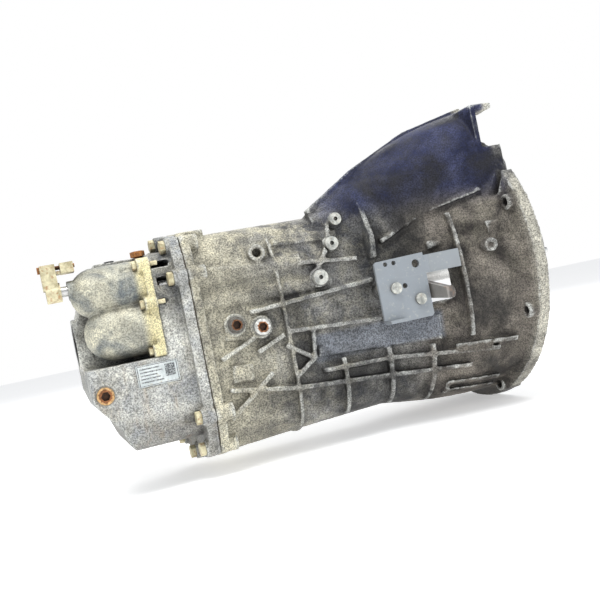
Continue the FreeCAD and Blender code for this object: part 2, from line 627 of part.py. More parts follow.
def front_case():
    outside = outside_of_case()
    bell_hollow = casting("bell_hollow", BELL, -SIZES["wall"],
                          ("0.5", "wall_front_x"))
    case_hollow = casting("case_hollow", CASE, -SIZES["wall"], ("wall_back_x", "back_x - 0.5"))
    starter_hollow = starter_form("starter_hollow", -SIZES["starter_wall"] - 2, 3)
    starter_limit = block("starter_limit", ("starter_room_back_x", "3"),
                          ("-flange_radius", "100"), ("40", "260"))
    starter_room = both("starter_room", starter_hollow, starter_limit)
    ear_pocket = block("ear_room", ("ear_back_x + ear_pocket", "ear_front_x + 12"),
                       ("ear_front_y - 1", "ear_back_y + 14"),
                       ("ear_low_z + ear_pocket", "ear_top_z - ear_pocket"))
    notch = block("notch", ("-flange_thick - 20", "1"), ("notch_front_y", "notch_back_y"),
                  ("notch_low_z - 60", "notch_top_z"))
    bell_shell = less("bell_shell", outside, bell_hollow)
    open_shell = less("open_shell", bell_shell, starter_room, ear_pocket)
    shell = less("case_shell", open_shell, case_hollow)
    filled = join("case_filled", shell, *seats_in_case(), *whole_flange())
    holes = [
        rod("input_seat_bore", "big_bearing_radius", ("wall_front_x - big_bearing_wide", "0", "0"),
            "big_bearing_wide + 1"),
        rod("input_seat_hole", "input_hole_radius", ("wall_front_x - 22", "0", "0"), "22"),
        rod("counter_seat_bore", "small_bearing_radius",
            ("wall_front_x - 19", "0", "shaft_drop"), "19 - 3"),
        block("window", ("window_back_x", "window_front_x"), ("-190", "-110"),
              ("window_low_z", "window_top_z")),
        rod("stud_hole", "stud_radius", ("wall_front_x - 8", "ball_y", "0"), "40"),
        rod("access_recess", "access_bore", ("access_bore_x", "access_bore_y", "access_z + 2"),
            "access_bore_long"),
        notch,
        rod("tapped_hole", "tapped_radius", ("tapped_x", "tapped_face_y - 1", "tapped_z"),
            "tapped_depth + 1", "y"),
    ]
    for step, (y, z) in enumerate(bell_places()):
        holes.append(rod(f"bell_hole_{step}", "bell_hole_radius", ("bell_boss_back_x - 1", y, z),
                         "2 - bell_boss_back_x"))
    for step, (y, z) in enumerate(joint_places()):
        holes.append(rod(f"case_joint_hole_{step}", "joint_bolt_radius", ("back_x - 1", y, z), "21"))
    for name in ("12", "34", "5r"):
        holes.append(rod(f"rail_bore_{name}", "rail_radius + rail_play",
                         ("rail_boss_back_x - 1", "rail_y", f"rail_{name}_z"),
                         "-201 - rail_boss_back_x"))
    for step, (x, z) in enumerate(PLATE_BOLTS):
        holes.append(rod(f"stand_off_hole_{step}", "stand_off_bore", (x, "plate_back_y - 1", z),
                         "19", "y"))
    for name in ("fill", "level"):
        holes.append(rod(f"{name}_hole", "plug_thread", (f"{name}_x", "side_boss_y - 1", f"{name}_z"),
                         "45", "y"))
    for name in ("boss_a", "boss_b", "boss_c"):
        holes.append(rod(f"{name}_hole", "detent_bore",
                         (f"{name}_x", f"{name}_y - 1", f"{name}_z"), "detent_depth + 1", "y"))
        holes.append(rod(f"{name}_face", "boss_face_radius",
                         (f"{name}_x", f"{name}_y - 30", f"{name}_z"), "30", "y"))
    for name in ("12", "34"):
        holes.append(rod(f"fork_channel_{name}", "fork_hub_radius + 1",
                         (f"hub_{name}_x - fork_hub_half - 9", "rail_y", f"rail_{name}_z"),
                         "2 * fork_hub_half + 18"))
    for step, turn in enumerate((0, 90, 180, 270)):
        holes.append(rod(f"guide_hole_{step}", "guide_bolt_radius",
                         ("wall_front_x - 9", f"guide_bolt_circle * cos({turn + 45})", f"guide_bolt_circle * sin({turn + 45})"),
                         "12"))
    for step, turn in enumerate((0, 180)):
        holes.append(rod(f"dowel_hole_{step}", "dowel_radius - 2",
                         ("-14", f"bell_bolt_radius * cos({turn})", f"bell_bolt_radius * sin({turn})"),
                         "15"))
    keep(less("front_casting", filled, *holes), "front_case")


# ---------------------------------------------------------------- tail housing and selector

def tail_case():
    form = straight_form("tail_form", "tail_half", "tail_top", "tail_bottom", "tail_power",
                         ("tail_end_x - 4", "tail_front_x"))
    side = padded("tail_side", "XZ_Plane",
                  [("tail_front_x + 1", "tail_bottom + 3"), ("-500", "tail_bottom - 4"),
                   ("-548", "tail_bottom - 4"), ("-559", "-136"), ("-568", "-110"),
                   ("-588", "-84"), ("tail_end_x", "-62"), ("tail_end_x", "22"), ("-578", "60"),
                   ("-562", "90"), ("-554", "tail_top + 4"), ("tail_front_x + 1", "tail_top + 4")],
                  "-tail_half - 4", "2 * tail_half + 8")
    rim = straight_form("tail_rim", "joint_half", "joint_top", "joint_bottom", "joint_power",
                        ("tail_joint_x", "tail_front_x"))
    ears = [rod(f"tail_ear_{step}", "joint_boss_radius", ("tail_joint_x - 4", y, z),
                "tail_front_x - tail_joint_x + 4") for step, (y, z) in enumerate(joint_places())]
    shelf = block("shelf", ("-640", "block_back_x"), ("-120", "shelf_y"), ("shelf_z", "130"))
    outside = less("tail_outside", both("tail_body", form, side), shelf)
    boss = rod("tail_boss", "boss_radius_tail", ("tail_boss_x", "0", "0"), "tail_boss_long")
    drain_boss = rod("drain_boss", "plug_boss_radius", ("drain_x", "drain_face_y", "drain_z"),
                     "drain_boss_long", "y")
    whole = build_up("tail_whole", outside, [rim], [boss, drain_boss], ears)
    rooms = [
        block("tail_room", ("tail_room_back_x", "tail_wall_x"), ("shelf_y + 8", "tail_room_right_y"),
              ("shelf_z + 2", "tail_top - 8")),
        block("tail_sump", ("sump_back_x", "tail_wall_x"), ("sump_left_y", "tail_room_right_y"),
              ("sump_low_z", "shelf_z - 7")),
        block("rail_room", ("rail_room_back_x", "tail_wall_x"),
              ("rail_room_left_y", "rail_room_right_y"), ("rail_room_low_z", "rail_room_top_z")),
    ]
    shell = less("tail_shell", whole, *rooms)
    seats = [
        rod("main_seat", "big_bearing_radius + seat_wall", ("tail_wall_x - 6", "0", "0"), "20"),
        rod("counter_rear_seat", "small_bearing_radius + seat_wall",
            ("tail_wall_x - 5", "0", "shaft_drop"), "12"),
        rod("bush_seat", "yoke_radius + bush_wall + 4.5", ("bush_back_x", "0", "0"),
            "bush_front_x - bush_back_x"),
    ]
    filled = join("tail_filled", shell, *seats)
    holes = [
        rod("main_bore", "big_bearing_radius", ("tail_front_x - big_bearing_wide", "0", "0"),
            "big_bearing_wide + 1"),
        rod("main_hole", "main_hole_radius", ("tail_wall_x - 10", "0", "0"), "30"),
        rod("counter_bore", "small_bearing_radius",
            ("tail_front_x - small_bearing_wide", "0", "shaft_drop"), "small_bearing_wide + 1"),
        rod("bush_bore", "yoke_radius + bush_wall", ("bush_back_x", "0", "0"),
            "bush_front_x - bush_back_x + 4"),
        rod("bush_hole", "yoke_radius + 1.5", ("tail_boss_x - 2", "0", "0"), "30"),
        rod("seal_bore", "seal_radius", ("tail_boss_x - 2", "0", "0"), "seal_wide + 2"),
        rod("rod_bore", "rail_radius + rail_play", ("tail_wall_x - 10", "rod_y", "rod_z"), "40"),
        rod("idler_bore", "idler_pin_radius", ("tail_front_x - 14", "idler_y", "idler_z"), "20"),
        block("label_recess", ("label_x - label_long / 2 - 4", "label_x + label_long / 2 + 4"),
              ("-tail_half - 4", "-tail_half + label_depth"),
              ("label_z - label_high / 2 - 3", "label_z + label_high / 2 + 3")),
        rod("drain_hole", "plug_thread", ("drain_x", "drain_face_y - 1", "drain_z"), "20", "y"),
        rod("top_bolt_hole", "5.1", ("crown_bolt_x", "crown_bolt_y", "tail_top - 6.5"), "12", "z"),
        rod("top_bolt_face", "crown_face_radius", ("crown_bolt_x", "crown_bolt_y", "tail_top"),
            "10", "z"),
        rod("breather_hole", "breather_stem_radius", ("breather_x", "breather_y", "tail_top - 20"),
            "30", "z"),
    ]
    for name in ("12", "34", "5r"):
        holes.append(rod(f"tail_rail_bore_{name}", "rail_radius + rail_play",
                         ("tail_wall_x - 2", "rail_y", f"rail_{name}_z"), "22"))
    for step, (y, z) in enumerate(joint_places()):
        holes.append(rod(f"tail_joint_hole_{step}", "joint_bolt_radius",
                         ("tail_joint_x - 6", y, z), "22"))
        holes.append(rod(f"tail_joint_face_{step}", "joint_bolt_radius + 4.2",
                         ("tail_joint_x - 24", y, z), "20"))
    for step, (y, z) in enumerate(COVER_BOLTS):
        holes.append(rod(f"tail_cover_hole_{step}", "cover_bolt_radius", ("block_back_x - 1", y, z),
                         "16"))
    for step, (x, y) in enumerate(mount_places()):
        holes.append(rod(f"mount_hole_{step}", "mount_hole_radius", (x, y, "tail_bottom - 1"),
                         "mount_depth + 1", "z"))
    keep(less("tail_casting", filled, *holes), "tail_case")


def mount_places():
    """Four tapped holes under the tail housing, as (x, y) formulas."""
    return [(f"mount_x + ({along}) * mount_half_pitch", f"({across}) * mount_spacing / 2")
            for along in (-1, 1) for across in (-1, 1)]


def lobe(name, which, shrink, start):
    """One lobe of the selector cover: a round tunnel and the half ball that closes it."""
    radius = f"{which}_radius - ({shrink})"
    centre = (f"{which}_end_x", f"{which}_y", f"{which}_z")
    dome = ball(f"{name}_dome", radius, centre)
    dome.Angle2 = 0
    dome.Placement.Rotation = FreeCAD.Rotation(AXES["z"], AXES["x"])
    return [rod(f"{name}_tunnel", radius, centre, f"({start}) - {which}_end_x"), dome]


def selector_cover():
    plate = block("cover_plate", ("block_back_x - cover_flange", "block_back_x"),
                  ("cover_front_y + 3", "cover_back_y"), ("cover_low_z + 4", "cover_top_z - 3"))
    ears = [rod(f"cover_ear_{step}", "cover_boss_radius", ("block_back_x - cover_flange - 6", y, z),
                "cover_flange + 6") for step, (y, z) in enumerate(COVER_BOLTS)]
    lobes = lobe("upper", "upper", "0", "block_back_x - 1") + lobe("lower", "lower", "0",
                                                                   "block_back_x - 1")
    rod_boss = rod("rod_boss", "rod_boss_radius", ("rod_boss_x", "rod_y", "rod_z"), "rod_boss_long")
    trim = block("cover_trim", ("-640", "-480"), ("cover_back_y", "20"), ("-60", "120"))
    foot_trim = block("cover_foot_trim", ("-640", "-480"), ("-130", "20"),
                      ("-80", "cover_low_z + 0.3"))
    whole = less("cover_whole", join("cover_body", plate, rod_boss, *ears, *lobes), trim, foot_trim)
    hollows = (lobe("upper_room", "upper", "cover_wall", "block_back_x + 1")
               + lobe("lower_room", "lower", "cover_wall", "block_back_x + 1"))
    holes = [rod("rod_exit", "rail_radius + rail_play", ("-610", "rod_y", "rod_z"), "60")]
    holes += [rod(f"cover_hole_{step}", "cover_bolt_radius + 0.4", ("-520", y, z), "30")
              for step, (y, z) in enumerate(COVER_BOLTS)]
    holes += [rod(f"cover_bolt_face_{step}", "cover_bolt_radius + 3",
                  ("block_back_x - cover_flange - 26", y, z), "20")
              for step, (y, z) in enumerate(COVER_BOLTS)]
    keep(less("cover_casting", whole, *hollows, *holes), "selector_cover")


def selector_parts():
    """The rod that comes out of the cover, its finger, its coupling and the coupling's pin."""
    keep(rod("selector_shaft", "rail_radius", ("rod_end_x", "rod_y", "rod_z"),
             "rod_front_x - rod_end_x"), "selector_rod")
    wide = ("finger_back_x", "finger_back_x + finger_wide")
    hub = rod("finger_hub", "finger_hub_radius", ("finger_back_x", "rod_y", "rod_z"), "finger_wide")
    arm = block("finger_arm", wide, ("-68", "-56"), ("16", "rod_z"))
    toe = block("finger_toe", wide, ("-75", "-56"), ("8", "24"))
    keep(less("finger", join("finger_body", hub, arm, toe),
              rod("finger_bore", "rail_radius", ("finger_back_x - 2", "rod_y", "rod_z"), "14"),
              rod("finger_slot", "rail_radius + 0.5", ("finger_back_x - 2", "rail_y", "rail_34_z"),
                  "14")),
         "selector_finger")
    across = ("coupling_left_y", "coupling_right_y")
    cheek = block("coupling_cheek", ("coupling_back_x", "cheek_front_x"), across,
                  ("coupling_low_z", "coupling_top_z"))
    bridge = block("coupling_bridge", ("coupling_back_x", "coupling_front_x"),
                   ("coupling_left_y + 3", "coupling_right_y - 3"), ("lug_low_z", "bridge_top_z"))
    lug = block("coupling_lug", ("lug_back_x", "coupling_front_x"), across,
                ("lug_low_z", "coupling_top_z"))
    hub = rod("coupling_hub", "coupling_hub_radius", ("coupling_back_x + 2", "rod_y", "rod_z"), "18")
    keep(less("coupling", join("coupling_body", cheek, bridge, lug, hub),
              rod("coupling_bore", "rail_radius", ("coupling_back_x - 6", "rod_y", "rod_z"), "40"),
              rod("coupling_pin_bore", "pin_radius", ("coupling_back_x - 6", "rod_y", "pin_z"), "60")),
         "selector_coupling")
    keep(join("pin_body", rod("pin_shank", "pin_radius", ("coupling_back_x", "rod_y", "pin_z"),
                                  "pin_long"),
              rod("pin_head", "pin_head_radius", ("coupling_back_x - 3", "rod_y", "pin_z"), "3")),
         "coupling_pin")


# ---------------------------------------------------------------- shafts and gears

def input_shaft():
    teeth = toothed("input_teeth", INPUT_TEETH, ("input_gear_back_x", "input_gear_front_x"),
                    input_phase())
    body = turned("input_body", [
        ("input_gear_back_x - dog_wide", "0"), ("input_gear_back_x - dog_wide", "dog_radius - 8"),
        ("input_gear_back_x", "dog_radius - 8"), ("input_gear_back_x", "24"),
        ("input_gear_front_x", "24"), ("input_gear_front_x", "22"), ("-214", "22"),
        ("-214", "big_bearing_bore"), ("-196", "big_bearing_bore"), ("-196", "input_radius - 0.6"),
        ("input_spline_x", "input_radius - 0.6"), ("input_spline_x", "input_radius"),
        ("-14", "input_radius"), ("-11", "10"), ("-11", "pilot_radius"),
        ("input_nose_x - 1", "pilot_radius"), ("input_nose_x", "pilot_radius - 1"),
        ("input_nose_x", "0")])
    dogs = ring("input_dogs", "20", "dog_radius",
                ("input_gear_back_x - dog_wide", "input_gear_back_x + 0.5"))
    keep(less("input_whole", join("input_join", teeth, body, dogs),
              rod("pilot_bore", "bearing_pilot + 0.05", ("-250", "0", "0"), "22")), "input_shaft")


def main_shaft():
    keep(turned("main_body", [
        ("shaft_end_x", "0"), ("shaft_end_x", "spline_radius - 1.5"),
        ("shaft_end_x + 1.5", "spline_radius"), ("spline_start_x", "spline_radius"),
        ("spline_start_x", "tail_radius"), ("tail_front_x - big_bearing_wide", "tail_radius"),
        ("tail_front_x - big_bearing_wide", "big_bearing_bore"),
        ("tail_front_x", "big_bearing_bore"), ("tail_front_x", "shaft_radius"),
        ("-246", "shaft_radius"), ("-246", "bearing_pilot"), ("-231", "bearing_pilot"),
        ("-231", "0")]), "main_shaft")


def counter_shaft():
    keep(turned("counter_body", [
        ("tail_front_x - small_bearing_wide + 1", "0"),
        ("tail_front_x - small_bearing_wide + 1", "small_bearing_bore"),
        ("tail_front_x", "small_bearing_bore"), ("tail_front_x", "counter_radius"),
        ("wall_front_x - 18", "counter_radius"), ("wall_front_x - 18", "small_bearing_bore"),
        ("wall_front_x - 4", "small_bearing_bore"), ("wall_front_x - 4", "0")], z="shaft_drop"),
        "counter_shaft")


COUNTER_PHASE = math.radians(90)


def input_phase():
    return mesh_phase(DRIVEN_TEETH, COUNTER_PHASE, INPUT_TEETH, math.radians(90))


def counter_gears():
    """The gears pressed on the counter shaft, one solid each."""
    drop = number("shaft_drop")
    rows = [("driven", DRIVEN_TEETH, "input_gear")]
    rows += [(name, teeth, name) for name, (teeth, _) in PAIRS.items()]
    gears = []
    for name, teeth, mate in rows:
        x = (f"{mate}_back_x + counter_inset", f"{mate}_front_x - counter_inset")
        blank = toothed(f"counter_{name}_teeth", teeth, x, COUNTER_PHASE, 0, drop)
        gears.append(less(f"counter_{name}", blank,
                          rod(f"counter_{name}_bore", "counter_radius",
                              (x[0], "0", "shaft_drop"), "40")))
    keep(group("counter_cluster", *gears), "counter_gears")


def speed_gears():
    """The gears that run free on the main shaft, each with its ring of dogs."""
    nodes = {"gear_1": "first_gear", "gear_2": "second_gear", "gear_3": "third_gear",
             "gear_5": "fifth_gear", "gear_r": "reverse_gear"}
    dogs_in_front = ("gear_1", "gear_3", "gear_r")
    for name, (counter_teeth, teeth) in PAIRS.items():
        phase = mesh_phase(counter_teeth, COUNTER_PHASE, teeth, math.radians(90))
        if name == "gear_r":
            phase = reverse_phases()[1]
        back, front = f"{name}_back_x", f"{name}_front_x"
        rim = toothed(f"{name}_teeth", teeth, (back, front), phase)
        ends = (f"{front} - 0.5", f"{front} + dog_wide")
        if name not in dogs_in_front:
            ends = (f"{back} - dog_wide", f"{back} + 0.5")
        dogs = ring(f"{name}_dogs", "shaft_radius", "dog_radius", ends)
        bore = rod(f"{name}_bore", "shaft_radius + gear_bore_play", ("-600", "0", "0"), "500")
        keep(less(f"{name}_whole", join(f"{name}_join", rim, dogs), bore), nodes[name])


def idler_centre():
    """Where the reverse idler stands so that it meets both the counter and the main gear."""
    module, drop = number("gear_module"), number("shaft_drop")
    to_counter = module * (PAIRS["gear_r"][0] + IDLER_TEETH) / 2
    to_main = module * (PAIRS["gear_r"][1] + IDLER_TEETH) / 2
    z = (drop * drop + to_main * to_main - to_counter * to_counter) / (2 * drop)
    return math.sqrt(to_main * to_main - z * z), z


def reverse_phases():
    y, z = idler_centre()
    to_idler = math.atan2(z - number("shaft_drop"), y)
    idler = mesh_phase(PAIRS["gear_r"][0], COUNTER_PHASE, IDLER_TEETH, to_idler)
    to_main = math.atan2(-z, -y)
    return idler, mesh_phase(IDLER_TEETH, idler, PAIRS["gear_r"][1], to_main)


def reverse_idler():
    y, z = idler_centre()
    blank = toothed("idler_teeth", IDLER_TEETH,
                    ("gear_r_back_x + counter_inset", "gear_r_front_x - counter_inset"),
                    reverse_phases()[0], y, z)
    keep(less("idler_whole", blank,
              rod("idler_gear_bore", "idler_pin_radius + gear_bore_play",
                  ("-600", "idler_y", "idler_z"), "500")), "reverse_idler")
    keep(join("idler_pin_body", rod("idler_pin_shank", "idler_pin_radius",
                                    ("tail_front_x - 14", "idler_y", "idler_z"), "30"),
              rod("idler_pin_head", "idler_pin_radius + 3", ("gear_r_front_x - counter_inset + 0.6",
                                                             "idler_y", "idler_z"), "3")),
         "idler_pin")


def shift_groups():
    """Hubs, sleeves, blocker rings and snap rings of the three shift groups."""
    rings, clips = [], []
    for name in ("34", "12", "5r"):
        x = f"hub_{name}_x"
        keep(ring(f"hub_{name}", "shaft_radius", "hub_radius",
                  (f"{x} - hub_half", f"{x} + hub_half")), f"hub_{name}")
        keep(turned(f"sleeve_{name}", [
            (f"{x} - sleeve_half", "sleeve_bore"), (f"{x} - sleeve_half", "sleeve_radius"),
            (f"{x} - groove_half", "sleeve_radius"), (f"{x} - groove_half", "groove_radius"),
            (f"{x} + groove_half", "groove_radius"), (f"{x} + groove_half", "sleeve_radius"),
            (f"{x} + sleeve_half", "sleeve_radius"), (f"{x} + sleeve_half", "sleeve_bore")]),
            f"sleeve_{name}")
        for side, sign in (("back", "-"), ("front", "+")):
            near = f"{x} {sign} (hub_half + ring_gap)"
            far = f"{x} {sign} (hub_half + ring_gap + ring_wide)"
            ends = (far, near) if sign == "-" else (near, far)
            rings.append(ring(f"ring_{name}_{side}", "ring_bore", "dog_radius - 0.3", ends))
        clips.append(ring(f"clip_{name}", "shaft_radius", "20.5",
                          (f"{x} + hub_half", f"{x} + hub_half + 1.5")))
    keep(group("blocker_ring_set", *rings), "blocker_rings")
    clips.append(ring("washer_32", "shaft_radius", "25", ("gear_2_front_x + 0.4", "gear_3_back_x - 0.4")))
    clips.append(ring("washer_15", "shaft_radius", "25", ("gear_5_front_x + 0.4", "gear_1_back_x - 0.4")))
    keep(group("clip_set", *clips), "shaft_clips")


def bearing(name, size, x, z="0"):
    """Outer race, inner race and balls of one bearing, from the back face at x."""
    radius, bore, wide = f"{size}_bearing_radius", f"{size}_bearing_bore", f"{size}_bearing_wide"
    ends = (x, f"{x} + {wide}")
    outer = ring(f"{name}_outer_race", f"{radius} - race_thick", radius, ends, z=z)
    inner = ring(f"{name}_inner_race", bore, f"{bore} + race_thick", ends, z=z)
    middle = (number(radius) + number(bore)) / 2
    gap = (number(radius) - number(bore)) / 2 - number("race_thick") - 0.05
    count = int(math.pi * middle / gap * 0.8)
    balls = []
    for step in range(count):
        turn = 360 * step / count
        balls.append(ball(f"{name}_ball_{step}",
                          f"({radius} - {bore}) / 2 - race_thick - 0.05",
                          (f"{x} + {wide} / 2", f"({radius} + {bore}) / 2 * cos({turn})",
                           f"({z}) + ({radius} + {bore}) / 2 * sin({turn})")))
    return outer, inner, balls


def bearings():
    input_parts = bearing("input_bearing", "big", "wall_front_x - big_bearing_wide")
    main_parts = bearing("main_bearing", "big", "tail_front_x - big_bearing_wide")
    front_parts = bearing("counter_front_bearing", "small", "wall_front_x - 18", "shaft_drop")
    rear_parts = bearing("counter_rear_bearing", "small", "tail_front_x - small_bearing_wide",
                         "shaft_drop")
    for label, (outer, inner, balls) in (("input_bearing", input_parts),
                                         ("main_bearing", main_parts)):
        keep(group(f"{label}_fixed", outer, *balls), f"{label}_outer")
        keep(inner, f"{label}_inner")
    keep(group("counter_races", front_parts[0], rear_parts[0], *front_parts[2], *rear_parts[2]),
         "counter_bearing_outers")
    keep(group("counter_inners", front_parts[1], rear_parts[1]), "counter_bearing_inners")


# ---------------------------------------------------------------- rails and forks

def rails_and_forks():
    for name, end in (("12", "rail_12_end_x"), ("34", "rail_34_end_x"), ("5r", "rail_5r_end_x")):
        z = f"rail_{name}_z"
        stem = rod(f"rail_{name}_stem", "rail_radius", (end, "rail_y", z), f"rail_front_x - {end}")
        if name == "34":
            gates = [rod(f"gate_{name}_{step}", "8.5", (x, "rail_y", z), "4")
                     for step, x in enumerate(("-532.5", "-517.5"))]
        else:
            gates = [rod(f"gate_{name}", "9", ("-487", "rail_y", z), "10")]
        keep(join(f"rail_{name}_body", stem, *gates), f"rail_{name}")
        shift_fork(name, z)


def shift_fork(name, z):
    """A half ring in the sleeve's groove, an arm and a hub pressed on its rail."""
    x = f"hub_{name}_x"
    back, wide = f"{x} - fork_half", "2 * fork_half"
    disc = rod(f"fork_{name}_disc", "fork_ring_radius", (back, "0", "0"), wide)
    half = block(f"fork_{name}_half", (f"{x} - 20", f"{x} + 20"), ("-90", "-4"), ("-60", "60"))
    slope = f"atan2({z}; rail_y)"
    arm = DOC.addObject("Part::Box", f"fork_{name}_arm")
    bind(arm, "Length", wide)
    bind(arm, "Width", f"sqrt(rail_y^2 + {z}^2)")
    bind(arm, "Height", "2 * fork_arm_half")
    arm.Placement.Rotation = FreeCAD.Rotation(FreeCAD.Vector(1, 0, 0), 1)
    bind(arm, "Placement.Rotation.Angle", slope)
    bind(arm, "Placement.Base.x", back)
    bind(arm, "Placement.Base.y", f"fork_arm_half * sin({slope})")
    bind(arm, "Placement.Base.z", f"-fork_arm_half * cos({slope})")
    hub = rod(f"fork_{name}_hub", "fork_hub_radius", (f"{x} - fork_hub_half", "rail_y", z),
              "2 * fork_hub_half")
    body = join(f"fork_{name}_body", both(f"fork_{name}_claw", disc, half), arm, hub)
    keep(less(f"fork_{name}_whole", body,
              rod(f"fork_{name}_throat", "fork_ring_bore", (f"{x} - 20", "0", "0"), "40"),
              rod(f"fork_{name}_bore", "rail_radius", (f"{x} - 20", "rail_y", z), "40")),
         f"fork_{name}")


# ---------------------------------------------------------------- clutch side

def clutch_side():
    keep(less("guide_whole", turned("guide_body", [
        ("wall_front_x", "guide_bore"), ("wall_front_x", "guide_flange_radius"),
        ("wall_front_x + guide_flange_thick", "guide_flange_radius"),
        ("wall_front_x + guide_flange_thick", "guide_radius + 6"),
        ("wall_front_x + guide_flange_thick + 6", "guide_radius"),
        ("guide_front_x - 1", "guide_radius"), ("guide_front_x", "guide_radius - 1"),
        ("guide_front_x", "guide_bore")]),
        *[rod(f"guide_bolt_hole_{step}", "3.2",
              ("wall_front_x - 1", f"guide_bolt_circle * cos({turn})", f"guide_bolt_circle * sin({turn})"), "9")
          for step, turn in enumerate((45, 135, 225, 315))],
        rod("seal_seat", "22", ("wall_front_x - 1", "0", "0"), "8")), "guide_sleeve")
    keep(ring("input_lip", "input_radius + 0.05", "22", ("wall_front_x + 1.2", "wall_front_x + 6.8")),
         "input_seal")
    keep(group("guide_bolt_set", *[bolt(f"guide_bolt_{step}", "3",
                                        ("wall_front_x + guide_flange_thick",
                                         f"guide_bolt_circle * cos({turn})", f"guide_bolt_circle * sin({turn})"), "14", "5")
                                   for step, turn in enumerate((45, 135, 225, 315))]),
         "guide_bolts")
    keep(less("release_whole", turned("release_body", [
        ("release_back_x", "guide_radius + 0.08"), ("release_back_x", "release_radius"),
        ("release_back_x + 4", "release_radius"), ("release_back_x + 4", "release_radius - 6"),
        ("release_front_x - 5", "release_radius - 2"), ("release_front_x", "release_radius - 5"),
        ("release_front_x", "release_radius - 11"), ("release_front_x - 3", "guide_radius + 3"),
        ("release_front_x - 3", "guide_radius + 0.08")]),
        block("release_flat", ("release_back_x - 1", "release_back_x + 5"), ("-40", "40"),
              ("31", "40"))), "release_bearing")
    keep(join("stud_body", rod("stud_shank", "stud_radius", ("wall_front_x - 7", "ball_y", "0"), "52"),
              rod("stud_collar", "stud_collar_radius", ("wall_front_x + 17.5", "ball_y", "0"), "16"),
              ball("stud_ball", "ball_radius", ("ball_x", "ball_y", "0"))), "ball_stud")
    clutch_fork()


def clutch_fork():
    """The release fork: a cranked arm from the ball stud, past the bearing, out of the window."""
    body = padded("fork_plate", "YZ_Plane", [
        ("ball_y + 18", "-12"), ("ball_y + 18", "12"), ("ball_y - 20", "18"), ("34", "38"),
        ("-14", "40"), ("-44", "14"), ("-120", "-8"), ("fork_tip_y", "fork_tip_z + 7"),
        ("fork_tip_y", "fork_tip_z - 7"), ("-120", "-31"), ("-44", "-26"), ("-14", "-40"),
        ("34", "-38"), ("ball_y - 20", "-18")], "fork_back_x", "fork_front_x - fork_back_x")
    pads = [rod(f"fork_pad_{step}", "fork_pad_radius", ("fork_front_x + 2", "0", z), "9", "z")
            for step, z in enumerate(("fork_hole_radius + 0.5", "-fork_hole_radius - 9.5"))]
    cup = rod("fork_cup", "15", ("fork_back_x", "ball_y", "0"), "14")
    tip = rod("fork_tip", "8", ("fork_front_x - 1", "fork_tip_y + 9", "fork_tip_z"), "5")
    keep(less("fork_whole", join("fork_join", body, cup, tip, *pads),
              rod("fork_hole", "fork_hole_radius", ("-160", "0", "0"), "60"),
              ball("fork_socket", "ball_radius + 0.3", ("ball_x", "ball_y", "0")),
              rod("fork_groove", "ball_radius + 0.6", ("ball_x", "ball_y", "-4"), "8", "z")),
         "clutch_fork")


# ---------------------------------------------------------------- fasteners and small parts

def bolt(name, radius, under_head, shank, head, axis="x", away=1):
    """A hexagon bolt: its head stands from under_head along away, its shank goes the other way."""
    letter = "xyz".index(axis)
    head_start, shank_start = list(under_head), list(under_head)
    if away < 0:
        head_start[letter] = f"({under_head[letter]}) - ({head})"
    else:
        shank_start[letter] = f"({under_head[letter]}) - ({shank})"
    return join(name, hexagon(f"{name}_head", f"({radius}) * 3.3", head_start, head, axis),
                rod(f"{name}_shank", radius, shank_start, shank, axis))


def case_fasteners():
    bolts = [bolt(f"joint_bolt_{step}", "joint_bolt_radius", ("tail_joint_x - 4", y, z),
                  "joint_grip", "7", away=-1) for step, (y, z) in enumerate(joint_places())]
    keep(group("joint_bolt_set", *bolts), "case_bolts")
    gasket_outer = straight_form("gasket_form", "joint_half - 0.5", "joint_top - 0.5",
                                 "joint_bottom + 0.5", "joint_power", ("tail_front_x", "back_x"))
    gasket_room = straight_form("gasket_room", "back_half - wall", "back_top - wall",
                                "back_bottom + wall", "back_power",
                                ("tail_front_x - 1", "back_x + 1"))
    holes = [rod(f"gasket_hole_{step}", "joint_bolt_radius", ("tail_front_x - 1", y, z), "3")
             for step, (y, z) in enumerate(joint_places())]
    keep(less("gasket_whole", gasket_outer, gasket_room, *holes), "case_gasket")
    bolts = [bolt(f"cover_bolt_{step}", "cover_bolt_radius",
                  ("block_back_x - cover_flange - 6", y, z), "26", "5", away=-1)
             for step, (y, z) in enumerate(COVER_BOLTS)]
    keep(group("cover_bolt_set", *bolts), "cover_bolts")
    dowels = [rod(f"dowel_{step}", "dowel_radius - 2",
                  ("-13", f"bell_bolt_radius * cos({turn})", f"bell_bolt_radius * sin({turn})"), "20")
              for step, turn in enumerate((0, 180))]
    keep(group("dowel_set", *dowels), "locating_dowels")


def plug(name, x, face_y, z, socket, label, radius="plug_radius"):
    """A threaded plug facing -Y, its head on a washer, with a socket sunk in the head."""
    head = rod(f"{name}_head", radius, (x, f"{face_y} - washer_thick - plug_proud", z),
               "plug_proud", "y")
    edge = DOC.addObject("Part::Chamfer", f"{name}_edge")
    DOC.recompute()
    edge.Base = head
    rim = [number_of + 1 for number_of, item in enumerate(head.Shape.Edges)
           if item.Closed and abs(item.CenterOfMass.y - head.Shape.BoundBox.YMin) < 1e-6]
    edge.Edges = [(item, 1.2, 1.2) for item in rim]
    stem = rod(f"{name}_stem", "plug_thread", (x, f"{face_y} - washer_thick - 0.5", z), "14", "y")
    key = hexagon(f"{name}_key", socket, (x, f"{face_y} - washer_thick - plug_proud - 1", z), "6", "y")
    keep(less(f"{name}_whole", join(f"{name}_body", edge, stem), key), label)
    return less(f"{name}_washer", rod(f"{name}_washer_disc", f"{radius} + 1.5",
                                      (x, f"{face_y} - washer_thick", z), "washer_thick", "y"),
                rod(f"{name}_washer_hole", "plug_thread", (x, f"{face_y} - 3", z), "6", "y"))


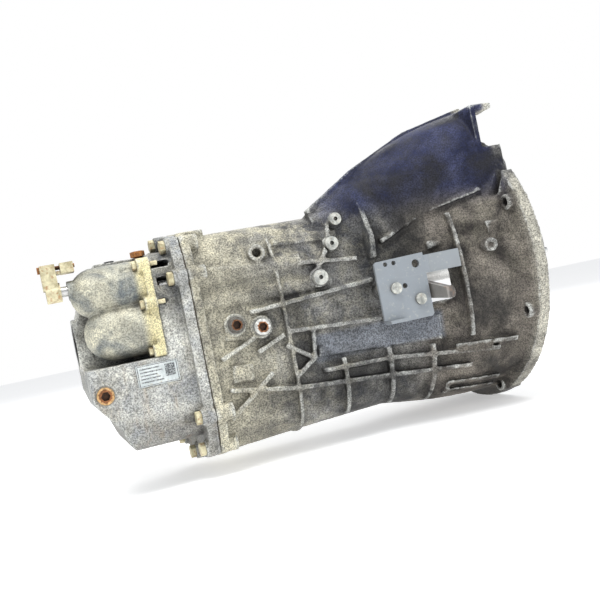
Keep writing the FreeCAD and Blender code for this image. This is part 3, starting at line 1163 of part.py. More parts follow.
def small_parts():
    washers = [plug("fill", "fill_x", "side_boss_y", "fill_z", "10", "fill_plug"),
               plug("level", "level_x", "side_boss_y", "level_z", "10", "level_plug"),
               plug("drain", "drain_x", "drain_face_y", "drain_z", "10", "drain_plug")]
    keep(group("washer_set", *washers), "plug_washers")
    detents = []
    for name, head in (("boss_a", "8.3"), ("boss_b", "9"), ("boss_c", "10")):
        cap = rod(f"{name}_cap", head, (f"{name}_x", f"{name}_y - 7", f"{name}_z"), "7", "y")
        stem = rod(f"{name}_stem", "5", (f"{name}_x", f"{name}_y - 1", f"{name}_z"), "12", "y")
        key = hexagon(f"{name}_key", "5.5", (f"{name}_x", f"{name}_y - 8", f"{name}_z"), "4", "y")
        detents.append(less(f"{name}_plug", join(f"{name}_body", cap, stem), key))
    keep(group("detent_set", *detents), "detent_plugs")
    bracket()
    keep(block("label_body", ("label_x - label_long / 2", "label_x + label_long / 2"),
               ("-tail_half + label_depth - 0.8", "-tail_half + label_depth"),
               ("label_z - label_high / 2", "label_z + label_high / 2")), "label_plate")
    keep(bolt("crown_bolt", "5", ("crown_bolt_x", "crown_bolt_y", "tail_top"), "6", "7", "z"), "top_bolt")
    keep(join("breather_body", rod("breather_stem", "breather_stem_radius",
                                   ("breather_x", "breather_y", "tail_top - 8"), "12", "z"),
              rod("breather_cap", "breather_cap_radius",
                  ("breather_x", "breather_y", "tail_top + 2"), "5", "z")), "breather")
    keep(ring("tail_bush_body", "yoke_radius", "yoke_radius + bush_wall",
              ("bush_back_x + 0.2", "bush_front_x - 0.2")), "tail_bush")
    keep(ring("tail_lip", "yoke_radius - 0.4", "28",
              ("tail_boss_x + 0.5", "tail_boss_x + seal_wide")), "tail_seal")


def bracket():
    """The plated bracket on the bell, with its wing, bent foot and fixing bolts."""
    plate = padded("bracket_plate_body", "XZ_Plane", [
        ("plate_left_x", "plate_low_z + 6"), ("plate_left_x + 24", "plate_low_z + 3"),
        ("plate_left_x + 26", "plate_low_z"), ("plate_right_x - 3", "plate_low_z"),
        ("plate_right_x", "plate_low_z + 3"), ("plate_right_x", "plate_top_z"),
        ("plate_left_x + 3", "plate_top_z - 2"), ("plate_left_x", "plate_top_z - 5")],
        "-plate_back_y", "plate_thick")
    foot = block("bracket_foot", ("plate_left_x + 2", "plate_left_x + 28"),
                 ("plate_back_y - plate_thick - 14", "plate_back_y"),
                 ("plate_low_z + 1", "plate_low_z + 5"))
    wing = padded("bracket_wing", "XY_Plane", [
        ("plate_right_x - 6", "plate_back_y - plate_thick"),
        ("plate_right_x + 6", "plate_back_y - plate_thick"),
        ("wing_tip_x", "wing_tip_y"), ("wing_tip_x", "wing_tip_y + plate_thick"),
        ("plate_right_x + 7", "plate_back_y"), ("plate_right_x - 6", "plate_back_y")], "2", "wing_high")
    holes = [rod(f"bracket_hole_{step}", str(radius), (x, "plate_back_y - 6", z), "8", "y")
             for step, (x, z, radius) in enumerate(PLATE_HOLES)]
    holes += [rod(f"bracket_bolt_hole_{step}", "4.4", (x, "plate_back_y - 6", z), "8", "y")
              for step, (x, z) in enumerate(PLATE_BOLTS)]
    keep(less("bracket_whole", join("bracket_body", plate, foot, wing), *holes), "bracket_plate")
    bolts = []
    for step, (x, z) in enumerate(PLATE_BOLTS):
        face = "plate_back_y - plate_thick"
        bolts.append(join(f"bracket_bolt_{step}",
                          rod(f"bracket_head_{step}", "7.5", (x, f"{face} - 4", z), "4", "y"),
                          rod(f"bracket_shank_{step}", "4", (x, face, z), "20", "y")))
    keep(group("bracket_bolt_set", *bolts), "bracket_bolts")


# ---------------------------------------------------------------- build, test and write

def write_parts():
    DOC.recompute()
    failed = [item.Name for item in DOC.Objects
              if "Invalid" in item.State or "Error" in item.State]
    if failed:
        raise RuntimeError(f"objects that failed: {failed}")
    os.makedirs("parts", exist_ok=True)
    for piece in FINISHED:
        shape = piece.Shape
        if shape.isNull() or not shape.isValid() or not shape.Solids:
            raise RuntimeError(f"{piece.Label} has no valid solid")
        shape.exportStep(f"parts/{piece.Label}.step")
        box = shape.BoundBox
        print(f"{piece.Label:24s} {len(shape.Solids):3d} solids {shape.Volume / 1000:9.1f} cm3 "
              f"x {box.XMin:7.1f} {box.XMax:7.1f}  y {box.YMin:7.1f} {box.YMax:7.1f} "
              f"z {box.ZMin:7.1f} {box.ZMax:7.1f}")


SIZES["idler_y"] = SIZES["idler_z"] = 0
fill_sheet()
SHEET.set(SHEET.getCellFromAlias("idler_y"), str(idler_centre()[0]))
SHEET.set(SHEET.getCellFromAlias("idler_z"), str(idler_centre()[1]))
DOC.recompute()

front_case()
tail_case()
selector_cover()
selector_parts()
input_shaft()
main_shaft()
counter_shaft()
counter_gears()
speed_gears()
reverse_idler()
shift_groups()
bearings()
rails_and_forks()
clutch_side()
case_fasteners()
small_parts()
write_parts()
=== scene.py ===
# Looks of a used five-speed gearbox: dusty cast aluminium, a navy starter housing, a plated bracket.
# Metres, in the row's frame: +X towards the engine, +Z up, the side with the plugs is -Y.
# The big castings are remeshed from their CAD nodes, so that edges are rounded and skins rough.
import math

import bmesh
import bpy
from mathutils import Matrix, Vector


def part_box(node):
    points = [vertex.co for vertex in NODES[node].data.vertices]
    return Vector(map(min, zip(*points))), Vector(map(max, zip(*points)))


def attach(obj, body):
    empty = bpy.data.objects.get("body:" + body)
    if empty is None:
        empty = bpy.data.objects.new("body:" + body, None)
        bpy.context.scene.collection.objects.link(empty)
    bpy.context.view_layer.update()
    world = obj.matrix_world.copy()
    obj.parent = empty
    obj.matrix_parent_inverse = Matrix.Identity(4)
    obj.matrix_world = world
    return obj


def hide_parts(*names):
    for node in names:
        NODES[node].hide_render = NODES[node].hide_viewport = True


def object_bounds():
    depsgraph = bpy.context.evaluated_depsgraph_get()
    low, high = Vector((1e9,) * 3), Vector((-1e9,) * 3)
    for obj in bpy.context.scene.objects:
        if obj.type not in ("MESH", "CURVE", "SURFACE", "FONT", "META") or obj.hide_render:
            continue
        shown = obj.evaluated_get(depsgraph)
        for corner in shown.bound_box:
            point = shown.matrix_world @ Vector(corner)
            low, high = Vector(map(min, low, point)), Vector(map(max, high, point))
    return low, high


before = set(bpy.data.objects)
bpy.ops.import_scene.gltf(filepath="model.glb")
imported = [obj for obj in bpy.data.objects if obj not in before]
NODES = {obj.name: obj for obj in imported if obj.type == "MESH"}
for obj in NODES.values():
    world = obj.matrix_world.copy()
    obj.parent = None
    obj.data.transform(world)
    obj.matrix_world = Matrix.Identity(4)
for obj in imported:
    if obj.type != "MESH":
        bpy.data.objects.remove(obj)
CAD_BOUNDS = [list(map(float, corner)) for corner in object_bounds()]
MM = 0.001

WELD = 0.01 * MM            # vertices closer than this are one
SHADE_SAMPLES = 6
LUMP_SIZE, LUMP_HEIGHT = 9 * MM, 0.9 * MM
GRAIN_SIZE, GRAIN_HEIGHT = 2.6 * MM, 0.45 * MM
CASTINGS = {                # voxel size and most triangles of each remeshed casting
    "front_case": (1.7 * MM, 190000), "tail_case": (1.5 * MM, 120000),
    "selector_cover": (1.2 * MM, 60000),
}
RECESS_FLOOR = ((-60, -170, 26), (-26, -164, 54))       # millimetres, two corners


# ------------------------------------------------------------------ node material builder

class Paint:
    """One procedural material. Each method adds nodes and returns an output socket."""

    def __init__(self, name, metallic=0.0, specular=0.5):
        self.material = bpy.data.materials.new(name)
        self.material.use_nodes = True
        self.tree = self.material.node_tree
        self.shader = self.tree.nodes["Principled BSDF"]
        self.shader.inputs["Metallic"].default_value = metallic
        self.shader.inputs["Specular IOR Level"].default_value = specular
        place = self.tree.nodes.new("ShaderNodeTexCoord")
        self.point = place.outputs["Object"]
        split = self.tree.nodes.new("ShaderNodeSeparateXYZ")
        self.tree.links.new(self.point, split.inputs[0])
        self.x, self.y, self.z = split.outputs
        shape = self.tree.nodes.new("ShaderNodeNewGeometry")
        self.pointiness = shape.outputs["Pointiness"]
        facing = self.tree.nodes.new("ShaderNodeSeparateXYZ")
        self.tree.links.new(shape.outputs["Normal"], facing.inputs[0])
        self.up = facing.outputs[2]

    def plug(self, socket, value):
        if isinstance(value, bpy.types.NodeSocket):
            self.tree.links.new(value, socket)
        elif hasattr(value, "__len__") and len(value) == 3 and len(socket.default_value) == 4:
            socket.default_value = (*value, 1)
        else:
            socket.default_value = value

    def noise(self, scale, detail=4.0, rough=0.6, stretch=None, warp=0.0):
        """Cloudy noise from 0 to 1, with scale in features per metre."""
        made = self.tree.nodes.new("ShaderNodeTexNoise")
        made.inputs["Scale"].default_value = scale
        made.inputs["Detail"].default_value = detail
        made.inputs["Roughness"].default_value = rough
        made.inputs["Distortion"].default_value = warp
        point = self.point
        if stretch:
            mapping = self.tree.nodes.new("ShaderNodeMapping")
            mapping.inputs["Scale"].default_value = stretch
            self.tree.links.new(point, mapping.inputs["Vector"])
            point = mapping.outputs["Vector"]
        self.tree.links.new(point, made.inputs["Vector"])
        return made.outputs["Fac"]

    def cells(self, scale):
        made = self.tree.nodes.new("ShaderNodeTexVoronoi")
        made.inputs["Scale"].default_value = scale
        self.tree.links.new(self.point, made.inputs["Vector"])
        return made.outputs["Distance"]

    def ramp(self, value, low, high, start=0.0, end=1.0):
        """Smooth change from start to end as value goes from low to high."""
        made = self.tree.nodes.new("ShaderNodeMapRange")
        made.interpolation_type = "SMOOTHSTEP"
        for name, number in (("From Min", low), ("From Max", high), ("To Min", start), ("To Max", end)):
            made.inputs[name].default_value = number
        self.plug(made.inputs["Value"], value)
        return made.outputs["Result"]

    def calc(self, operation, one, two=0.0):
        made = self.tree.nodes.new("ShaderNodeMath")
        made.operation = operation
        self.plug(made.inputs[0], one)
        self.plug(made.inputs[1], two)
        return made.outputs[0]

    def times(self, *values):
        total = values[0]
        for value in values[1:]:
            total = self.calc("MULTIPLY", total, value)
        return total

    def mix(self, factor, one, two, how="MIX"):
        made = self.tree.nodes.new("ShaderNodeMix")
        made.data_type = "RGBA"
        made.blend_type = how
        self.plug(made.inputs["Factor"], factor)
        self.plug([i for i in made.inputs if i.name == "A" and i.type == "RGBA"][0], one)
        self.plug([i for i in made.inputs if i.name == "B" and i.type == "RGBA"][0], two)
        return [o for o in made.outputs if o.type == "RGBA"][0]

    def grey(self, level):
        """A number as a grey colour."""
        made = self.tree.nodes.new("ShaderNodeCombineColor")
        for socket in made.inputs:
            self.plug(socket, level)
        return made.outputs[0]

    def shade(self, distance=0.02):
        """Ambient occlusion: 1 in the open, 0 deep in a corner."""
        made = self.tree.nodes.new("ShaderNodeAmbientOcclusion")
        made.samples = SHADE_SAMPLES
        made.inputs["Distance"].default_value = distance
        return made.outputs["AO"]

    def bump(self, height, strength, depth, under=None):
        made = self.tree.nodes.new("ShaderNodeBump")
        made.inputs["Strength"].default_value = strength
        made.inputs["Distance"].default_value = depth
        self.tree.links.new(height, made.inputs["Height"])
        if under is not None:
            self.tree.links.new(under, made.inputs["Normal"])
        return made.outputs["Normal"]

    def finish(self, colour, roughness, normal=None, metallic=None):
        self.plug(self.shader.inputs["Base Color"], colour)
        self.plug(self.shader.inputs["Roughness"], roughness)
        if normal is not None:
            self.tree.links.new(normal, self.shader.inputs["Normal"])
        if metallic is not None:
            self.plug(self.shader.inputs["Metallic"], metallic)
        return self.material


# ------------------------------------------------------------------ materials

CREAM_DUST = (0.62, 0.58, 0.44)
PALE_OXIDE = (0.60, 0.61, 0.58)
# near-black used both for oil stains and for painted shade in corners
OIL_AND_SHADE_BLACK = (0.018, 0.017, 0.016)
RUST = (0.42, 0.17, 0.055)


def dirt(paint, colour, dust, oil, grain=1.0):
    """Dust on the upper faces, oil stains and painted shade in the corners, bare metal on the edges, and fine
    speckle.
    """
    fine = paint.noise(520, 3, 0.75)
    coarse = paint.noise(46, 6, 0.68, warp=0.4)
    cloud = paint.noise(11, 5, 0.6, warp=0.8)
    resting = paint.ramp(paint.up, -0.5, 0.8, 0.35, 1.0)
    patches = paint.ramp(coarse, 0.38, 0.66)
    cover = paint.calc("MINIMUM", paint.times(resting, patches, dust), 0.93)
    dusty = paint.mix(cover, colour, CREAM_DUST)
    # painted shade: corners darkened by ambient occlusion, taken together with cloudy oil stains below
    corner = paint.ramp(paint.shade(0.022), 0.40, 0.95, 1.15, 0.0)
    stain = paint.ramp(cloud, 0.44, 0.68)
    oil_and_shade = paint.calc("MINIMUM", paint.times(paint.calc("ADD", corner, stain), oil), 0.92)
    oiled_and_shaded = paint.mix(oil_and_shade, dusty, OIL_AND_SHADE_BLACK)
    edge = paint.times(paint.ramp(paint.pointiness, 0.515, 0.56), paint.ramp(coarse, 0.3, 0.6))
    worn = paint.mix(paint.calc("MULTIPLY", edge, 0.7), oiled_and_shaded, PALE_OXIDE)
    speckle = paint.ramp(fine, 0.36, 0.64, 1.0 - 0.58 * grain, 1.0 + 0.58 * grain)
    specks = paint.mix(1.0, worn, paint.grey(speckle), "MULTIPLY")
    return specks, oil_and_shade, fine, coarse


def cast_skin(paint, fine, coarse, depth=1.0):
    """Sand-cast skin: fine grain over soft lumps."""
    lumps = paint.bump(coarse, 0.5, 1.2 * MM * depth)
    pits = paint.bump(paint.cells(300), 0.25, 0.5 * MM * depth, lumps)
    return paint.bump(fine, 0.55, 0.45 * MM * depth, pits)


def front_casting():
    """Main casting: tan dust at the tail end, grey in the middle, dark bell, navy starter housing."""
    paint = Paint("front_casting", metallic=0.25, specular=0.4)
    tone = paint.noise(17, 5, 0.62, warp=0.5)
    grey = paint.mix(paint.ramp(tone, 0.34, 0.66), (0.050, 0.052, 0.058), (0.30, 0.297, 0.285))
    bell = paint.mix(paint.ramp(tone, 0.36, 0.70), (0.026, 0.022, 0.020), (0.23, 0.205, 0.175))
    tan = paint.mix(paint.ramp(tone, 0.30, 0.68), (0.21, 0.20, 0.17), (0.58, 0.55, 0.43))
    body = paint.mix(paint.ramp(paint.x, -0.20, -0.13), grey, bell)
    body = paint.mix(paint.ramp(paint.x, -0.43, -0.30, 1.0, 0.0), body, tan)
    high = paint.times(paint.ramp(paint.z, 0.075, 0.115), paint.ramp(paint.x, -0.30, -0.22))
    navy = paint.mix(paint.ramp(tone, 0.3, 0.7), (0.005, 0.008, 0.034), (0.030, 0.040, 0.110))
    body = paint.mix(paint.calc("MULTIPLY", high, 0.92), body, navy)
    rim = paint.times(paint.ramp(paint.x, -0.022, -0.012), paint.ramp(tone, 0.3, 0.55))
    body = paint.mix(rim, body, (0.50, 0.48, 0.41))
    pad = paint.times(paint.ramp(paint.x, -0.312, -0.300),
                      paint.ramp(paint.x, -0.136, -0.128, 1.0, 0.0),
                      paint.ramp(paint.z, -0.090, -0.082), paint.ramp(paint.z, -0.054, -0.046, 1.0, 0.0),
                      paint.ramp(paint.y, -0.092, -0.088, 1.0, 0.0))
    body = paint.mix(paint.calc("MULTIPLY", pad, 0.8), body, (0.20, 0.22, 0.255))
    rear = paint.ramp(paint.x, -0.38, -0.12, 0.80, 0.16)
    marked = paint.calc("MAXIMUM", paint.times(pad, 0.85), paint.times(high, 0.85))
    clean = paint.calc("SUBTRACT", 1.0, marked)
    dust = paint.calc("MULTIPLY", rear, clean)
    oil = paint.ramp(paint.x, -0.42, -0.22, 0.45, 0.72)
    colour, oil_and_shade, fine, coarse = dirt(paint, body, dust, oil)
    rough = paint.calc("SUBTRACT", paint.ramp(fine, 0.3, 0.7, 0.62, 0.86), paint.times(oil_and_shade, 0.28))
    return paint.finish(colour, rough, cast_skin(paint, fine, coarse))


def tail_casting():
    """Tail housing: pale grey-beige tinted bluish by a painted sky reflection, brown run-off, painted shade
    in the recess behind the cover and along the underside.
    """
    paint = Paint("tail_casting", metallic=0.2, specular=0.4)
    tone = paint.noise(20, 5, 0.62, warp=0.6)
    # the casting's own pale grey-beige, with a bluish tint that is a painted sky reflection
    body = paint.mix(paint.ramp(tone, 0.3, 0.7), (0.27, 0.285, 0.30), (0.72, 0.72, 0.67))
    # painted shade: the recess behind the cover darkened
    painted_recess_shade = paint.times(paint.ramp(paint.x, -0.505, -0.488), paint.ramp(paint.z, 0.005, 0.03),
                         paint.ramp(paint.x, -0.470, -0.462, 1.0, 0.0))
    body = paint.mix(paint.calc("MULTIPLY", painted_recess_shade, 0.75), body, (0.10, 0.105, 0.11))
    # painted shade: darker towards the bottom of the tail, in patches
    under = paint.ramp(paint.z, -0.125, -0.09, 0.8, 0.0)
    body = paint.mix(paint.times(under, paint.ramp(tone, 0.35, 0.6)), body, (0.15, 0.145, 0.14))
    run = paint.times(paint.ramp(paint.noise(60, 3, 0.6, (1.0, 1.0, 0.15)), 0.55, 0.75),
                      paint.ramp(paint.z, -0.05, 0.0, 1.0, 0.2))
    body = paint.mix(paint.calc("MULTIPLY", run, 0.45), body, (0.30, 0.20, 0.11))
    colour, oil_and_shade, fine, coarse = dirt(paint, body, 0.45, 0.42, 0.9)
    rough = paint.calc("SUBTRACT", paint.ramp(fine, 0.3, 0.7, 0.62, 0.84), paint.times(oil_and_shade, 0.25))
    return paint.finish(colour, rough, cast_skin(paint, fine, coarse))


def cover_casting():
    """Selector cover: smoother casting, yellowed with dried oil along its bolting edge."""
    paint = Paint("cover_casting", metallic=0.3, specular=0.45)
    tone = paint.noise(24, 5, 0.6, warp=0.6)
    body = paint.mix(paint.ramp(tone, 0.3, 0.7), (0.12, 0.145, 0.165), (0.68, 0.655, 0.52))
    band = paint.times(paint.ramp(paint.x, -0.520, -0.507), paint.ramp(tone, 0.2, 0.5, 0.5, 1.0))
    body = paint.mix(band, body, (0.80, 0.72, 0.42))
    colour, oil_and_shade, fine, coarse = dirt(paint, body, 0.35, 0.40, 0.7)
    rough = paint.calc("SUBTRACT", paint.ramp(fine, 0.3, 0.7, 0.5, 0.74), paint.times(oil_and_shade, 0.22))
    return paint.finish(colour, rough, cast_skin(paint, fine, coarse, 0.6))


def oiled_steel(name, dark, bright, rough=(0.22, 0.42), lathe=(1.0, 1.0, 1.0)):
    """Machined steel under a film of oil, with tool marks stretched along one direction."""
    paint = Paint(name, metallic=1.0)
    marks = paint.noise(700, 3, 0.6, lathe)
    film = paint.noise(38, 5, 0.6, warp=0.5)
    colour = paint.mix(paint.ramp(film, 0.3, 0.7), dark, bright)
    # painted shade: corners darkened by ambient occlusion
    corner = paint.ramp(paint.shade(0.01), 0.3, 0.9, 0.75, 0.0)
    colour = paint.mix(corner, colour, (0.05, 0.04, 0.03))
    wear = paint.ramp(paint.pointiness, 0.52, 0.58, 0.0, 0.6)
    colour = paint.mix(wear, colour, (0.8, 0.8, 0.78))
    level = paint.calc("ADD", paint.ramp(film, 0.3, 0.7, *rough), paint.ramp(marks, 0.3, 0.7, -0.05, 0.08))
    return paint.finish(colour, level, paint.bump(marks, 0.25, 0.12 * MM))


def bolt_steel():
    """Zinc-plated bolts and lugs, yellowed, with spots of rust and painted shade in the corners."""
    paint = Paint("bolt_steel", metallic=0.45, specular=0.5)
    tone = paint.noise(90, 5, 0.6, warp=0.5)
    fine = paint.noise(900, 3, 0.7)
    colour = paint.mix(paint.ramp(tone, 0.3, 0.68), (0.46, 0.40, 0.24), (0.86, 0.80, 0.55))
    rusty = paint.times(paint.ramp(paint.noise(160, 4, 0.7), 0.52, 0.68), 0.75)
    colour = paint.mix(rusty, colour, RUST)
    # painted shade: corners darkened by ambient occlusion
    corner = paint.ramp(paint.shade(0.012), 0.3, 0.85, 0.85, 0.0)
    colour = paint.mix(corner, colour, (0.06, 0.05, 0.04))
    normal = paint.bump(fine, 0.35, 0.2 * MM, paint.bump(tone, 0.4, 0.5 * MM))
    return paint.finish(colour, paint.ramp(fine, 0.3, 0.7, 0.42, 0.7), normal)


def plug_steel():
    """Plugs and washers with a pale chalky bloom, and painted shade in their sockets."""
    paint = Paint("plug_steel", metallic=0.35, specular=0.5)
    tone = paint.noise(120, 5, 0.65, warp=0.4)
    fine = paint.noise(1100, 3, 0.7)
    colour = paint.mix(paint.ramp(tone, 0.32, 0.66), (0.30, 0.31, 0.29), (0.72, 0.72, 0.66))
    # painted shade: corners and sockets darkened by ambient occlusion
    corner = paint.ramp(paint.shade(0.010), 0.35, 0.9, 0.95, 0.0)
    colour = paint.mix(corner, colour, (0.03, 0.028, 0.025))
    bloom = paint.times(paint.ramp(paint.noise(260, 4, 0.7), 0.55, 0.7), 0.5)
    colour = paint.mix(bloom, colour, (0.36, 0.22, 0.12))
    normal = paint.bump(fine, 0.4, 0.2 * MM, paint.bump(tone, 0.4, 0.5 * MM))
    return paint.finish(colour, paint.ramp(fine, 0.3, 0.7, 0.4, 0.72), normal)


def socket_plug(name, node, rim, heart, reach):
    """A plug whose rim and heart have weathered differently, parted at reach from its axis."""
    paint = Paint(name, metallic=0.25, specular=0.45)
    low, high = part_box(node)
    axis_x, axis_z = (low.x + high.x) / 2, (low.z + high.z) / 2
    fine = paint.noise(1100, 3, 0.7)
    tone = paint.noise(260, 5, 0.65, warp=0.5)
    across = paint.calc("SUBTRACT", paint.x, axis_x)
    above = paint.calc("SUBTRACT", paint.z, axis_z)
    away = paint.calc("SQRT", paint.calc("ADD", paint.times(across, across), paint.times(above, above)))
    ragged = paint.calc("ADD", away, paint.ramp(tone, 0.3, 0.7, -0.8 * MM, 0.8 * MM))
    tint = paint.ramp(tone, 0.3, 0.7, 0.45, 1.25)
    colour = paint.mix(paint.ramp(ragged, reach - 0.6 * MM, reach + 0.6 * MM), heart, rim)
    colour = paint.mix(1.0, colour, paint.grey(tint), "MULTIPLY")
    # painted shade: the socket around the plug darkened by ambient occlusion
    colour = paint.mix(paint.ramp(paint.shade(0.009), 0.35, 0.9, 0.92, 0.0), colour, OIL_AND_SHADE_BLACK)
    normal = paint.bump(fine, 0.5, 0.2 * MM, paint.bump(tone, 0.5, 0.5 * MM))
    return paint.finish(colour, paint.ramp(fine, 0.3, 0.7, 0.5, 0.8), normal)


def rusted_steel():
    """Steel gone to orange and brown rust, flaky, with pale scale left at the rim."""
    paint = Paint("rusted_steel", metallic=0.1, specular=0.35)
    tone = paint.noise(150, 6, 0.7, warp=0.6)
    fine = paint.noise(1300, 3, 0.75)
    colour = paint.mix(paint.ramp(tone, 0.3, 0.62), (0.16, 0.062, 0.025), (0.56, 0.25, 0.085))
    flake = paint.ramp(paint.noise(420, 4, 0.7), 0.58, 0.70)
    colour = paint.mix(paint.calc("MULTIPLY", flake, 0.7), colour, (0.72, 0.60, 0.40))
    # painted shade: corners darkened by ambient occlusion
    corner = paint.ramp(paint.shade(0.009), 0.35, 0.9, 0.9, 0.0)
    colour = paint.mix(corner, colour, (0.03, 0.018, 0.010))
    normal = paint.bump(fine, 0.6, 0.25 * MM, paint.bump(tone, 0.6, 0.8 * MM))
    return paint.finish(colour, paint.ramp(fine, 0.3, 0.7, 0.72, 0.95), normal)


def fork_iron():
    """Pressed iron, black-brown with an oil film and bright rubbed edges."""
    paint = Paint("fork_iron", metallic=0.6, specular=0.5)
    tone = paint.noise(40, 5, 0.62, warp=0.5)
    fine = paint.noise(800, 3, 0.7)
    colour = paint.mix(paint.ramp(tone, 0.3, 0.7), (0.045, 0.042, 0.040), (0.19, 0.175, 0.16))
    colour = paint.mix(paint.ramp(paint.pointiness, 0.52, 0.58, 0.0, 0.6), colour, (0.45, 0.43, 0.40))
    colour = paint.mix(paint.times(paint.ramp(tone, 0.55, 0.7), 0.5), colour, RUST)
    normal = paint.bump(fine, 0.4, 0.2 * MM, paint.bump(tone, 0.4, 0.7 * MM))
    return paint.finish(colour, paint.ramp(fine, 0.3, 0.7, 0.38, 0.66), normal)


def bracket_zinc():
    """Blue-grey plated sheet, mottled, with brushed scratches, dust and painted shade in its corners."""
    paint = Paint("bracket_zinc", metallic=0.35, specular=0.5)
    tone = paint.noise(48, 5, 0.6, warp=0.4)
    fine = paint.noise(950, 3, 0.7)
    brushed = paint.noise(260, 3, 0.6, (0.12, 1.0, 1.0))
    colour = paint.mix(paint.ramp(tone, 0.3, 0.7), (0.040, 0.058, 0.082), (0.092, 0.125, 0.168))
    colour = paint.mix(paint.ramp(brushed, 0.55, 0.75, 0.0, 0.3), colour, (0.15, 0.19, 0.22))
    wing = paint.ramp(paint.x, -0.146, -0.138)
    colour = paint.mix(paint.calc("MULTIPLY", wing, 0.5), colour, (0.18, 0.20, 0.215))
    # painted shade: corners darkened by ambient occlusion
    colour = paint.mix(paint.ramp(paint.shade(0.012), 0.3, 0.85, 0.7, 0.0), colour, (0.04, 0.045, 0.05))
    dusted = paint.times(paint.ramp(paint.noise(190, 4, 0.7), 0.58, 0.70), 0.4)
    colour = paint.mix(dusted, colour, CREAM_DUST)
    colour = paint.mix(paint.ramp(paint.pointiness, 0.52, 0.58, 0.0, 0.5), colour, (0.55, 0.58, 0.60))
    normal = paint.bump(fine, 0.25, 0.12 * MM, paint.bump(brushed, 0.25, 0.15 * MM))
    return paint.finish(colour, paint.ramp(tone, 0.3, 0.7, 0.40, 0.60), normal)


def brass():
    """Bronze-brass blocker rings, warm and lightly tarnished."""
    paint = Paint("brass", metallic=1.0)
    tone = paint.noise(80, 4, 0.6, warp=0.4)
    fine = paint.noise(900, 3, 0.6)
    colour = paint.mix(paint.ramp(tone, 0.3, 0.7), (0.42, 0.27, 0.09), (0.80, 0.56, 0.22))
    # painted shade: corners darkened by ambient occlusion
    colour = paint.mix(paint.ramp(paint.shade(0.008), 0.3, 0.9, 0.7, 0.0), colour, (0.07, 0.045, 0.02))
    return paint.finish(colour, paint.ramp(fine, 0.3, 0.7, 0.22, 0.40), paint.bump(fine, 0.2, 0.1 * MM))


def seal_rubber():
    """Black seal rubber, matt, dusted at its lip."""
    paint = Paint("seal_rubber", specular=0.35)
    tone = paint.noise(130, 5, 0.65)
    fine = paint.noise(1400, 3, 0.7)
    colour = paint.mix(paint.ramp(tone, 0.35, 0.7), (0.012, 0.012, 0.013), (0.06, 0.058, 0.055))
    colour = paint.mix(paint.times(paint.ramp(paint.noise(300, 3, 0.6), 0.58, 0.72), 0.3), colour, CREAM_DUST)
    return paint.finish(colour, paint.ramp(fine, 0.3, 0.7, 0.5, 0.8), paint.bump(fine, 0.3, 0.1 * MM))


def gasket_fibre():
    """Fibre gasket squeezed at the joint, brown-black with lighter fibres."""
    paint = Paint("gasket_fibre", specular=0.3)
    fibres = paint.noise(900, 4, 0.75, (0.3, 1.0, 1.0))
    tone = paint.noise(70, 4, 0.6)
    colour = paint.mix(paint.ramp(fibres, 0.3, 0.7), (0.03, 0.027, 0.022), (0.15, 0.12, 0.085))
    colour = paint.mix(paint.times(paint.ramp(tone, 0.5, 0.7), 0.4), colour, OIL_AND_SHADE_BLACK)
    return paint.finish(colour, 0.85, paint.bump(fibres, 0.4, 0.15 * MM))


def label_film():
    """A blank silvery label, scuffed, with a soft grey haze where the print has gone."""
    paint = Paint("label_film", metallic=0.15, specular=0.5)
    haze = paint.noise(70, 5, 0.65, warp=0.6)
    scuff = paint.noise(420, 4, 0.75, (1.0, 1.0, 0.35))
    colour = paint.mix(paint.ramp(haze, 0.35, 0.7), (0.80, 0.84, 0.83), (0.56, 0.61, 0.61))
    colour = paint.mix(paint.ramp(scuff, 0.54, 0.70, 0.0, 0.6), colour, (0.24, 0.25, 0.26))
    yellowed = paint.times(paint.ramp(paint.noise(150, 4, 0.7), 0.55, 0.7), 0.5)
    colour = paint.mix(yellowed, colour, (0.55, 0.47, 0.32))
    return paint.finish(colour, paint.ramp(haze, 0.3, 0.7, 0.3, 0.55), paint.bump(scuff, 0.3, 0.1 * MM))


def breather_plastic():
    """Grey-black nylon cap, matt with a dusty crown."""
    paint = Paint("breather_plastic", specular=0.4)
    fine = paint.noise(1200, 3, 0.7)
    dust = paint.times(paint.ramp(paint.up, 0.2, 0.9), paint.ramp(paint.noise(180, 4, 0.65), 0.4, 0.65))
    colour = paint.mix(paint.calc("MULTIPLY", dust, 0.7), (0.03, 0.03, 0.032), CREAM_DUST)
    return paint.finish(colour, paint.ramp(fine, 0.3, 0.7, 0.5, 0.75), paint.bump(fine, 0.25, 0.1 * MM))


def ink_grey():
    """Faded grey ink of the label's blank blocks and border."""
    paint = Paint("ink_grey", specular=0.3)
    wear = paint.noise(600, 4, 0.7)
    colour = paint.mix(paint.ramp(wear, 0.42, 0.62), (0.10, 0.105, 0.11), (0.48, 0.51, 0.51))
    return paint.finish(colour, 0.6, paint.bump(wear, 0.2, 0.05 * MM))


GEAR_LATHE = (1.0, 0.2, 0.2)            # how far tool marks stretch along each axis
SHAFT_LATHE = (1.0, 0.08, 0.08)

